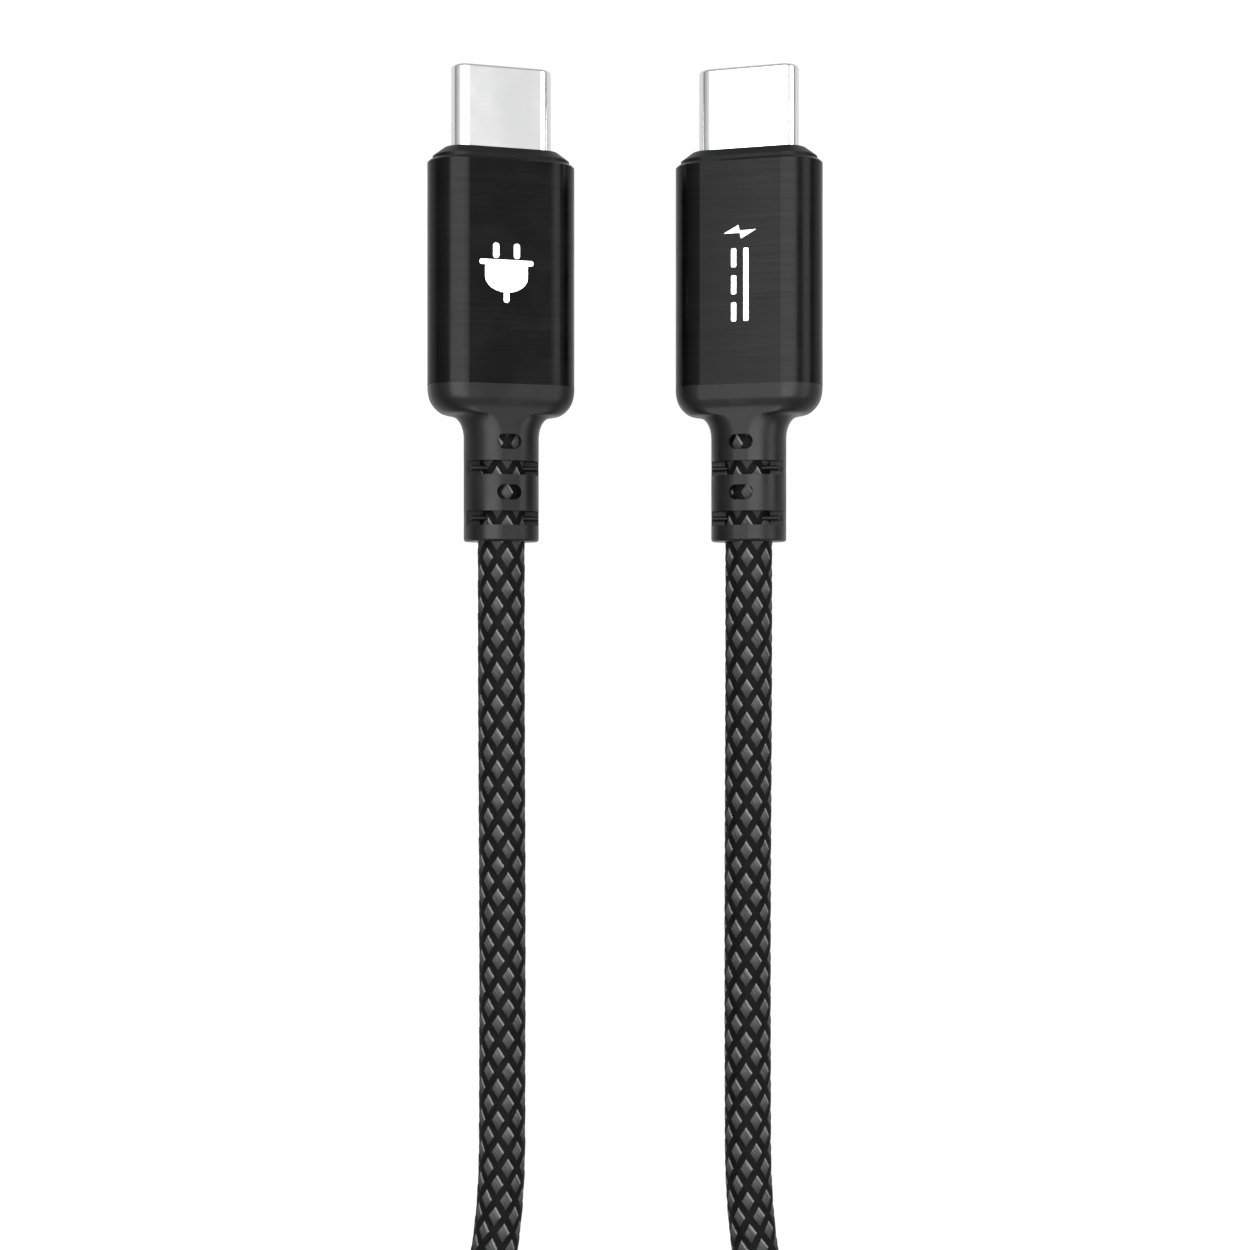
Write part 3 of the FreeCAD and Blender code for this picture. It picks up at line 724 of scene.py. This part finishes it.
@dataclass(frozen=True)
class Route:
    """The cord's points, from inside plug a to inside plug b."""

    hank: Hank = Hank()
    inside_plug: float = 12.95 * MM
    stub: float = 13.0 * MM
    last_run: float = 5.0 * MM
    lead: tuple[Triple, ...] = (
        (PLUG_MIDDLE, -29.0 * MM, PLUG_AXIS_HEIGHT),
        (9.94 * MM, -40.0 * MM, 3.1 * MM),
        (9.95 * MM, -51.0 * MM, 2.15 * MM),
        (9.98 * MM, -62.0 * MM, 1.93 * MM),
        (10.0 * MM, -72.5 * MM, 1.94 * MM),
    )
    swing: tuple[Triple, ...] = (
        (0.16, 0.08, -80.4 * MM),
        (0.48, 0.32, -88.0 * MM),
        (0.81, 0.68, -95.6 * MM),
    )
    resolution: int = 16

    def exit(self, side: Side) -> Triple:
        """Where the cord comes out of a boot."""
        return (side.value * PLUG_MIDDLE, BOOT_END, PLUG_AXIS_HEIGHT)

    def lead_points(self, side: Side, hank_end: Array) -> list[Triple]:
        """The points from a plug to its end of the hank.

        Args:
            side: which plug.
            hank_end: where the hank's line starts or ends.

        Returns:
            The points, plug first.
        """
        sign = side.value
        x, y, z = self.exit(side)
        points = [(x, y + self.inside_plug, z), (x, y, z)]
        points += [(sign * across, along, up) for across, along, up in self.lead]
        last_x, last_z = points[-1][0], points[-1][2]
        points += [
            (last_x + across * (hank_end[0] - last_x), along, last_z + up * (hank_end[2] - last_z))
            for across, up, along in self.swing
        ]
        stub_end = hank_end[1] + self.stub
        points += [(hank_end[0], stub_end + self.last_run, hank_end[2]), (hank_end[0], stub_end, hank_end[2])]
        return points

    def points(self) -> Array:
        """Every point of the route.

        Returns:
            The points, from plug a to plug b.
        """
        hank = self.hank.line()
        start = self.lead_points(Side.A, hank[0])
        end = self.lead_points(Side.B, hank[-1])
        return np.concatenate((start, hank, end[::-1]))

    def smooth_line(self) -> Array:
        """Reads the line of one open spline that has the route's points as its controls.

        Returns:
            Closely spaced points along the spline.
        """
        points = self.points()
        curve = bpy.data.curves.new("route", "CURVE")
        curve.dimensions = "3D"
        curve.resolution_u = self.resolution
        spline = curve.splines.new("NURBS")
        spline.points.add(len(points) - 1)
        spline.points.foreach_set("co", np.concatenate((points, np.ones((len(points), 1))), axis=1).ravel())
        spline.order_u = 3
        spline.use_endpoint_u = True
        holder = in_scene("route", curve)
        mesh = bpy.data.meshes.new_from_object(holder)
        line = np.zeros(len(mesh.vertices) * 3)
        mesh.vertices.foreach_get("co", line)
        bpy.data.objects.remove(holder)
        bpy.data.curves.remove(curve)
        bpy.data.meshes.remove(mesh)
        return line.reshape(-1, 3)


class Line:
    """A line in space that can be looked up by the distance along it, with a frame at each place."""

    def __init__(self, points: Array) -> None:
        """Measures the line.

        Args:
            points: closely spaced points along it.
        """
        gaps = np.linalg.norm(np.diff(points, axis=0), axis=1)
        keep = np.concatenate(([True], gaps > 1e-9))
        self.points = points[keep]
        self.distance = np.concatenate(([0.0], np.cumsum(gaps[gaps > 1e-9])))
        self.ahead = unit(np.gradient(self.points, self.distance, axis=0))

    @property
    def length(self) -> float:
        """The line's whole length."""
        return float(self.distance[-1])

    def reverse(self) -> Line:
        """The same line from its other end."""
        return Line(self.points[::-1])

    def look_up(self, values: Array, distance: Array) -> Array:
        """One row for each distance, read between the rows of three given for the line's points."""
        columns = [np.interp(distance, self.distance, values[:, axis]) for axis in range(3)]
        return np.stack(columns, axis=-1)

    def ring_points(self, distance: Array, angle: Array, radius: Array | float) -> Array:
        """Points round the line: at a radius and an angle from straight up, towards its side.

        Args:
            distance: the distance of each point along the line.
            angle: the angle of each.
            radius: the radius of each.

        Returns:
            The points.
        """
        ahead = unit(self.look_up(self.ahead, distance))
        across = unit(np.cross(np.broadcast_to(UP, ahead.shape), ahead))
        top = np.cross(ahead, across)
        out = top * np.cos(angle)[..., None] + across * np.sin(angle)[..., None]
        return self.look_up(self.points, distance) + out * np.broadcast_to(radius, angle.shape)[..., None]


@dataclass(frozen=True)
class Braid:
    """The braid: two sets of bands that wind opposite ways, with a raised grey float in each cell.

    Bands of one set are counted by a and of the other by b. A point is at (a + b) / 2 cells
    round the cord and (a - b) / 2 pitches along it. Grid lines lie close together at the floats'
    edges, so each float has a plateau and four flanks.
    """

    around: int = 7
    pitch: float = 2.59 * MM
    net_radius: float = 1.855 * MM
    float_rise: float = 0.06 * MM
    band_wave: float = 0.022 * MM
    lean: float = 0.28
    unevenness: float = 0.16
    turns: Pair = (math.radians(-7.5), math.radians(18.2))
    lines: tuple[float, ...] = (-0.35, -0.28, -0.15, 0.0, 0.15, 0.28, 0.35, 0.5)
    flank: Pair = (0.355, 0.255)

    def band(self, number: Whole) -> Array:
        """The place of each grid line, in bands."""
        per_band = len(self.lines)
        return number // per_band + np.array(self.lines)[number % per_band]

    def radius(self, a: Array, b: Array) -> Array:
        """The radius at a place: the net, a small wave of its bands, and the float if there is one.

        The float's height is the product of two smooth steps, one for each way, made to lean so
        that it is higher on one flank, and a little different in each cell.

        Args:
            a: places counted in bands of the first set.
            b: places counted in bands of the second set.

        Returns:
            The radius at each place.
        """
        whole_a, whole_b = np.round(a), np.round(b)
        part_a, part_b = a - whole_a, b - whole_b
        wave = np.cos(FULL_TURN * part_a) * np.cos(FULL_TURN * part_b)
        shape = smoothstep(*self.flank, np.abs(part_a)) * smoothstep(*self.flank, np.abs(part_b))
        ring = np.mod(whole_a - whole_b, 4096)
        place = np.mod(whole_a + whole_b, 2 * self.around)
        chance = np.mod(np.sin(ring * 12.9898 + place * 78.233) * 43758.5453, 1.0)
        height = self.float_rise * (1.0 - self.unevenness * chance)
        tilt = 1.0 - self.lean + self.lean * part_b / self.flank[1]
        return self.net_radius + self.band_wave * wave * (1.0 - shape) + height * shape * tilt

    def sleeve(self, line: Line, turn: float, first: int, last: int, half_pitch: float) -> Surface:
        """The braid round a stretch of a line, closed at both ends.

        Args:
            line: the cord's line.
            turn: how far the whole braid is turned about the line.
            first: the half pitch that the stretch starts at.
            last: the half pitch that it ends at.
            half_pitch: the length of a half pitch along the line.

        Returns:
            The surface, with a and b in its UV map as (a + b) / 2 and (a - b) / 2.
        """
        per_band = len(self.lines)
        ring = self.around * per_band
        steps = (last - first) * per_band
        j, k = np.meshgrid(np.arange(ring + 1), np.arange(steps + 1), indexing="ij")
        a, b = self.band(j + k + first * per_band), self.band(j)
        angle = math.pi * (a + b) / self.around + turn
        points = line.ring_points((a - b) * half_pitch, angle, self.radius(a, b))[:-1]
        pattern = np.stack(((a + b) / 2.0, (a - b) / 2.0), axis=-1)

        def at(row: Whole, column: Whole) -> Whole:
            """The number of a grid point, where the last row is the first again."""
            return (row % ring) * (steps + 1) + column

        row, column = np.meshgrid(np.arange(ring), np.arange(1, steps), indexing="ij")
        quads = ((row, column), (row, column + 1), (row + 1, column), (row + 1, column - 1))
        rim = np.arange(ring)
        zero, end = np.zeros_like(rim), np.full_like(rim, steps)
        low_rim = ((rim, zero), (rim, zero + 1), (rim + 1, zero))
        high_rim = ((rim, end), (rim + 1, end), (rim + 1, end - 1))
        middles = ring * (steps + 1) + np.arange(2)
        corners, uv = [], []
        for face in (quads, low_rim, high_rim):
            corners.append(np.stack([at(*place) for place in face], axis=-1).ravel())
            uv.append(np.stack([pattern[place] for place in face], axis=-2).reshape(-1, 2))
        low_cap = np.stack((np.full(ring, middles[0]), at(rim, zero), at(rim + 1, zero)), axis=-1)
        high_cap = np.stack((np.full(ring, middles[1]), at(rim + 1, end), at(rim, end)), axis=-1)
        corners += [low_cap.ravel(), high_cap.ravel()]
        uv.append(np.zeros((6 * ring, 2)))
        counts = np.concatenate((np.full(row.size, 4), np.full(4 * ring, 3)))
        ends = line.look_up(line.points, np.array((first, last)) * half_pitch)
        return Surface(
            np.concatenate((points.reshape(-1, 3), ends)), np.concatenate(corners), counts, np.concatenate(uv)
        )


@dataclass
class Cord:
    """The whole cord: a plain jacket from plug to plug, and the braid over it in four lengths.

    The braid starts at each plug with the same pattern, and the two halves meet under the tie.
    """

    route: Route = Route()
    braid: Braid = Braid()
    diameter: float = 3.8 * MM
    jacket_radius: float = 1.6 * MM
    jacket_around: int = 20
    jacket_step: float = 0.8 * MM
    real_length: float = 0.96
    meeting_round: float = 2.1007
    pieces: list[bpy.types.Object] = field(default_factory=list)
    centres: Array = field(default_factory=lambda: np.zeros((0, 3)))

    def build(self) -> bpy.types.Object:
        """Makes the jacket and the braid.

        Returns:
            The jacket, which stands for the cord's plain solids.
        """
        line = Line(self.route.smooth_line())
        log.info("the cord's line is %.4f m long", line.length)
        jacket = self.jacket(line)
        meeting = self.route.hank.strand(np.array([self.meeting_round]))[0]
        half = float(line.distance[np.argmin(np.linalg.norm(line.points - meeting, axis=1))])
        material = BraidFinish().material()
        ways = ((Side.A, line, half), (Side.B, line.reverse(), line.length - half))
        for (side, way, length), turn in zip(ways, self.braid.turns):
            cells = round(2.0 * length / self.braid.pitch)
            cut = cells // 2
            for part, (first, last) in enumerate(((0, cut), (cut, cells)), start=1):
                sleeve = self.braid.sleeve(way, turn, first, last, length / cells)
                name = f"cord_braid_{side.letter}{part}"
                self.pieces.append(sleeve.piece(name, material, "cord_braid"))
        return jacket

    def jacket(self, line: Line) -> bpy.types.Object:
        """The jacket under the braid: a round tube.

        Args:
            line: the cord's line.

        Returns:
            The piece.
        """
        count = math.ceil(line.length / self.jacket_step)
        distance, angle = np.meshgrid(
            np.linspace(0.0, line.length, count),
            np.arange(self.jacket_around) * FULL_TURN / self.jacket_around,
            indexing="ij",
        )
        rings = line.ring_points(distance, angle, self.jacket_radius)
        self.centres = line.look_up(line.points, distance[:, 0])
        material = HARD_FINISHES["cord_jacket"].material()
        made = tube(rings, Cap.FAN).piece("cord_jacket", material, "cord_braid")
        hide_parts("cable_end_a", "cable_end_b", "cord_lead_a", "cord_lead_b", "cord_hank")
        return made

    def declare(self, others: list[bpy.types.Object]) -> None:
        """Looks up where the cord leaves plug a, and does nothing more with it.

        Args:
            others: the tie's pieces; not used.
        """
        self.route.exit(Side.A)


@dataclass(frozen=True)
class Tie:
    """A hook-and-loop strap round the hank's waist, with its tail pressed down over its start.

    Its line goes round a stadium: two half circles about the two bundles and two straight runs.
    Its start, end, climb, tip and seams are in rounds of that line, the last two from its end.
    """

    middle: float = -137.0 * MM
    width: float = 10.0 * MM
    thickness: float = 0.62 * MM
    bundle_middle: float = 10.2325 * MM
    bundle_radius: float = 5.1325 * MM
    side_gap: float = 0.3 * MM
    lift: float = 0.1 * MM
    start: float = -0.045
    end: float = 1.2
    climb: Pair = (0.93, 1.0)
    tip: float = 0.038
    rings: int = 420
    around: int = 40
    roundness: Pair = (0.3, 0.55)
    seams: Pair = (0.05, 0.068)
    seam_share: float = 0.8
    stitches: int = 14
    stitch_share: float = 0.36
    stitch_rings: int = 7
    stitch_around: int = 8
    thread: float = 0.11 * MM
    bow: float = 0.05 * MM

    def middle_line(self, turns: Array, away: Array) -> tuple[Array, Array]:
        """The strap's line and its outward direction, at distances outside the bundles.

        Args:
            turns: places round the stadium, 0 at the middle of the top and growing towards +X.
            away: how far outside the bundles each place is.

        Returns:
            The points and the outward directions.
        """
        run = 2.0 * self.bundle_middle
        bend = math.pi * self.bundle_radius
        distance = np.mod(turns, 1.0) * 2.0 * (run + bend) + run / 2.0
        distance = np.mod(distance, 2.0 * (run + bend))
        right = np.clip((distance - run) / self.bundle_radius, 0.0, math.pi)
        left = np.clip((distance - 2.0 * run - bend) / self.bundle_radius, 0.0, math.pi)
        angle = math.pi / 2.0 - right - left
        x = np.clip(distance - run / 2.0, -run / 2.0, run / 2.0) - np.clip(distance - run - bend, 0.0, run)
        out = np.stack((np.cos(angle), np.zeros_like(x), np.sin(angle)), axis=-1)
        stretch = 1.0 + self.side_gap / self.bundle_radius * np.abs(out[:, 0])
        centre = np.stack((x, np.full_like(x, self.middle), np.full_like(x, HANK_HEIGHT)), axis=-1)
        return centre + out * (self.bundle_radius * stretch + away)[:, None], out

    def strap(self) -> Surface:
        """The strap: a flat section with soft edges, carried along its line.

        The section is a superellipse: cosine and sine, each to its own power. The line climbs by
        a thickness before it passes its own start, and the width closes to a round tip.

        Returns:
            The surface, with millimetres along and across in its UV map.
        """
        turns = np.linspace(self.start, self.end, self.rings)
        climb = self.thickness * smoothstep(*self.climb, turns)
        line, out = self.middle_line(turns, self.lift + self.thickness / 2.0 + climb)
        closing = np.clip((turns - (self.end - self.tip)) / self.tip, 0.0, 1.0)
        wide = self.width / 2.0 * np.sqrt(np.maximum(1.0 - closing**2, 0.004))
        angle = np.arange(self.around) * FULL_TURN / self.around
        flat, thick = (
            np.sign(way) * np.abs(way) ** power
            for way, power in zip((np.cos(angle), np.sin(angle)), self.roundness)
        )
        across = wide[:, None] * flat[None, :]
        upwards = (self.thickness / 2.0 * thick)[None, :, None] * out[:, None, :]
        rings = line[:, None, :] + across[..., None] * ACROSS_STRAP + upwards
        along = np.concatenate(([0.0], np.cumsum(np.linalg.norm(np.diff(line, axis=0), axis=1)))) / MM
        repeated = np.concatenate((across, across[:, :1]), axis=1) / MM
        pattern = np.stack((np.broadcast_to(along[:, None], repeated.shape), repeated), axis=-1)
        return tube(rings, Cap.FAN, pattern)

    def seam(self) -> Surface:
        """Two rows of thread across the strap's tail: each stitch is a short capsule.

        Returns:
            One surface with every stitch.
        """
        rows = []
        spacing = self.seam_share * self.width / self.stitches
        for back in self.seams:
            away = np.array([self.lift + 2.0 * self.thickness])
            line, out = self.middle_line(np.array([self.end - back]), away)
            for number in range(self.stitches):
                offset = (number - (self.stitches - 1) / 2.0) * spacing * ACROSS_STRAP
                rows.append(self.stitch(line[0] + offset, out[0], spacing * self.stitch_share))
        return joined(rows)

    def stitch(self, middle: Array, out: Array, half: float) -> Surface:
        """One stitch: a circle's radius grows and shrinks along Y as a half ellipse, bowed down.

        Args:
            middle: its middle.
            out: the outward direction.
            half: half its length.

        Returns:
            The surface.
        """
        share = np.linspace(-0.98, 0.98, self.stitch_rings)
        angle = np.arange(self.stitch_around) * FULL_TURN / self.stitch_around
        radius = self.thread * np.sqrt(1.0 - share**2)
        side = np.cross(out, ACROSS_STRAP)
        spine = middle + share[:, None] * half * ACROSS_STRAP - out * (self.bow * share**2)[:, None]
        ring = np.cos(angle)[:, None] * side + np.sin(angle)[:, None] * out
        return tube(spine[:, None, :] + radius[:, None, None] * ring[None], Cap.FAN)

    def build(self) -> list[bpy.types.Object]:
        """Makes the strap and its seam.

        Returns:
            The two pieces.
        """
        strap = self.strap().piece("tie_strap", StrapFinish().material(), "tie_fabric")
        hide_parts("cable_tie")
        seam = self.seam().piece("tie_seam", HARD_FINISHES["tie_thread"].material(), "tie_fabric")
        return [strap, seam]


# ---- The plugs


@dataclass(frozen=True)
class PlugPlace:
    """Where a plug lies: turned about its own axis, its boot's end at the back."""

    side: Side
    roll: float = math.radians(18.3)

    def placed(self, across: Array, along: Array, up: Array | float) -> Array:
        """Points given in the plug's own frame, in the row frame.

        Args:
            across: distances from the plug's middle.
            along: distances from the boot's end.
            up: distances above the plug's axis.

        Returns:
            The points.
        """
        across, along, up = np.broadcast_arrays(across, along, up)
        angle = -self.side.value * self.roll
        x = across * math.cos(angle) + up * math.sin(angle) + self.side.value * PLUG_MIDDLE
        z = up * math.cos(angle) - across * math.sin(angle) + PLUG_AXIS_HEIGHT
        return np.stack((x, along + BOOT_END, z), axis=-1)


@dataclass(frozen=True)
class Mark:
    """A printed mark on a sleeve's upper flat, made of thin prisms of ink.

    Its middle is millimetres across and along its plug, and its bars and outline are millimetres
    from there. A bar is its place across and along, its size across and along, and its corners'
    radius. The outline is a list across and a list along.
    """

    name: str
    place: PlugPlace
    across: float
    along: float
    bars: tuple[Bar, ...]
    outline: tuple[Array, Array]
    face: float = 2.72 * MM
    ink: float = 0.018 * MM
    bed: float = 0.01 * MM
    bar_points: int = 28

    def prism(self, across: Array, along: Array) -> Surface:
        """An outline as a thin prism.

        Args:
            across: the outline's distances across from the mark's middle.
            along: its distances along the plug from there.

        Returns:
            The closed surface.
        """
        across, along = (self.across + across) * MM, (self.along + along) * MM
        low, high = (self.place.placed(across, along, self.face + up) for up in (-self.bed, self.ink))
        return tube(np.stack((low, high)), Cap.FLAT)

    def bar(self, across: float, along: float, width: float, length: float, corner: float) -> Surface:
        """A bar with rounded corners: quarter circles about four inner corners.

        Args:
            across: its middle across the sleeve.
            along: its middle along the plug.
            width: its size across.
            length: its size along.
            corner: the corners' radius.

        Returns:
            The closed surface.
        """
        angle = (np.arange(self.bar_points) + 0.5) * FULL_TURN / self.bar_points
        x = np.sign(np.cos(angle)) * (width / 2.0 - corner) + corner * np.cos(angle)
        y = np.sign(np.sin(angle)) * (length / 2.0 - corner) + corner * np.sin(angle)
        return self.prism(across + x, along + y)

    def build(self, material: bpy.types.Material) -> None:
        """Makes the mark as one piece of ink."""
        parts = [self.prism(*self.outline), *(self.bar(*bar) for bar in self.bars)]
        joined(parts).piece(self.name, material, "sleeve_aluminium", smooth=False)


@dataclass(frozen=True)
class Plugs:
    """Both plugs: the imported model's own nodes, dressed, and the marks printed on the sleeves.

    Every number is in millimetres. A mark's place is across and along its plug.
    """

    plug_mark_place: Pair = (-0.3, 21.25)
    plug_mark_bars: tuple[Bar, ...] = (
        (-0.85, 1.7, 0.5, 1.2, 0.22),
        (0.85, 1.7, 0.5, 1.2, 0.22),
        (0.0, 0.78, 4.4, 0.42, 0.18),
        (0.0, -1.95, 0.46, 0.9, 0.2),
    )
    cup_radii: Pair = (1.75, 1.25)
    cup_top: float = 0.55
    cup_middle: float = -0.35
    power_mark_place: Pair = (0.0, 20.3)
    power_mark_bars: tuple[Bar, ...] = (
        (0.5, 0.0, 0.42, 5.8, 0.12),
        (-0.5, -2.146, 0.42, 1.508, 0.12),
        (-0.5, 0.0, 0.42, 1.508, 0.12),
        (-0.5, 2.146, 0.42, 1.508, 0.12),
    )
    bolt_across: tuple[float, ...] = (-1.33, -0.12, -0.02, 1.33, 0.1, 0.0)
    bolt_along: tuple[float, ...] = (4.1, 4.72, 4.28, 4.32, 3.65, 4.1)

    def plug_mark(self) -> Mark:
        """A power plug: two pins, a flat brim, a short tail, and a half ellipse as its cup.

        Returns:
            The mark.
        """
        wide, deep = self.cup_radii
        half_round = np.linspace(math.pi, FULL_TURN, 24, endpoint=False)
        across = np.concatenate(([wide, -wide], wide * np.cos(half_round)))
        along = np.concatenate(([self.cup_top] * 2, self.cup_middle + deep * np.sin(half_round)))
        place = PlugPlace(Side.A)
        return Mark("mark_plug", place, *self.plug_mark_place, self.plug_mark_bars, (across, along))

    def power_mark(self) -> Mark:
        """A lightning bolt, and below it the sign for direct current: a bar beside three dashes."""
        bolt = (np.array(self.bolt_across), np.array(self.bolt_along))
        return Mark("mark_power", PlugPlace(Side.B), *self.power_mark_place, self.power_mark_bars, bolt)

    def build(self, nodes: dict[str, bpy.types.Object]) -> None:
        """Gives each of the plugs' nodes its material, and prints one mark on each sleeve.

        Args:
            nodes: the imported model's nodes.
        """
        for finish in HARD_FINISHES.values():
            material = finish.material() if finish.parts else None
            for name in (f"{part}_{side.letter}" for side in Side for part in finish.parts):
                nodes[name].data.materials.clear()
                nodes[name].data.materials.append(material)
                log.info("%s is dressed in %s", name, finish.name)
        ink = HARD_FINISHES["print_ink"].material()
        for mark in (self.plug_mark(), self.power_mark()):
            mark.build(ink)


# ---- The studio


@dataclass(frozen=True)
class Panel:
    """A soft light panel that shines from its place towards an aim."""

    name: str
    place: Triple
    aim: Triple
    size: Pair
    radiance: float

    def build(self) -> None:
        """Makes the light: its power is pi times its area times its radiance."""
        light = bpy.data.lights.new(self.name, "AREA")
        light.shape = "RECTANGLE"
        light.size, light.size_y = self.size
        light.energy = self.radiance * math.pi * self.size[0] * self.size[1]
        made = in_scene(self.name, light)
        made.location = self.place
        gap = Vector(self.aim) - Vector(self.place)
        made.rotation_euler = gap.to_track_quat("-Z", "Y").to_euler()


@dataclass(frozen=True)
class Studio:
    """A pale floor, a soft sky, light panels, and the camera straight above the plugs."""

    floor_half: float = 6.0
    floor_colour: Colour = (0.085, 0.085, 0.085)
    floor_glow: float = 0.9
    sky_top: float = 1.42
    sky_low: float = 0.3
    sky_reach: float = 0.7
    camera_place: Triple = (0.0, -0.0257, 0.1781)
    lens: float = 62.4
    sensor: float = 36.0
    panels: tuple[Panel, ...] = (
        Panel("overhead_panel", (-0.075, 0.06, 0.6), (-0.075, 0.06, 0.0), (0.65, 0.7), 7.4),
        Panel("right_panel", (0.55, 0.02, 0.34), (0.0, 0.0, 0.0), (0.7, 0.28), 4.6),
    )

    def floor(self) -> None:
        """Lays the floor: a square of four quads that glows a little, so shadows stay pale."""
        sheet = NodeSheet("studio_floor")
        place = sheet.add("TexCoord").outputs["Object"]
        uneven = sheet.ramp(sheet.noise(place, 4.0), *NOISE_SPAN)
        material = sheet.shade(
            {
                "Base Color": sheet.spread(uneven, self.floor_colour, 0.03),
                "Roughness": 1.0,
                "Specular IOR Level": 0.0,
                "Emission Color": (1.0, 1.0, 1.0, 1.0),
                "Emission Strength": self.floor_glow,
            }
        )
        x, y = np.meshgrid((-1.0, 0.0, 1.0), (-1.0, 0.0, 1.0), indexing="ij")
        points = np.stack((x, y, np.zeros_like(x)), axis=-1).reshape(-1, 3) * self.floor_half
        mesh = bpy.data.meshes.new("studio_floor")
        mesh.from_pydata(points.tolist(), [], [(0, 3, 4, 1), (1, 4, 5, 2), (3, 6, 7, 4), (4, 7, 8, 5)])
        mesh.materials.append(material)
        made = in_scene("studio_floor", mesh)

    def sky(self) -> None:
        """Lights the sky: brightest overhead, dimmer towards the horizon."""
        world = bpy.data.worlds.new("studio_sky")
        world.use_nodes = True
        tree = world.node_tree
        tree.nodes.clear()
        kinds = ("OutputWorld", "Background", "TexCoord", "SeparateXYZ", "MapRange")
        output, background, where, split, ramp = (tree.nodes.new("ShaderNode" + kind) for kind in kinds)
        for number, value in enumerate((0.0, self.sky_reach, self.sky_low, self.sky_top), start=1):
            ramp.inputs[number].default_value = value
        tree.links.new(where.outputs["Generated"], split.inputs[0])
        tree.links.new(split.outputs[2], ramp.inputs[0])
        tree.links.new(ramp.outputs[0], background.inputs["Strength"])
        tree.links.new(background.outputs[0], output.inputs[0])
        bpy.context.scene.world = world

    def camera(self) -> None:
        """Sets the camera looking straight down, with +Y up in its view."""
        data = bpy.data.cameras.new("camera")
        data.sensor_width = self.sensor
        data.lens = self.lens
        data.clip_start = 0.01
        data.clip_end = 20.0
        made = in_scene("camera", data)
        made.location = self.camera_place
        bpy.context.scene.camera = made

    def build(self) -> None:
        """Sets up the floor, the sky, the panels and the camera."""
        bpy.context.scene.view_settings.view_transform = "Standard"
        self.floor()
        self.sky()
        for panel in self.panels:
            panel.build()
        self.camera()


def main() -> None:
    """Builds the studio, the cord, the tie and the plugs."""
    logging.basicConfig(level=logging.INFO, format="%(name)s: %(message)s")
    Studio().build()
    cord = Cord()
    jacket = cord.build()
    cord.declare(Tie().build())
    Plugs().build(frame["nodes"])


if __name__ == "__main__":
    main()
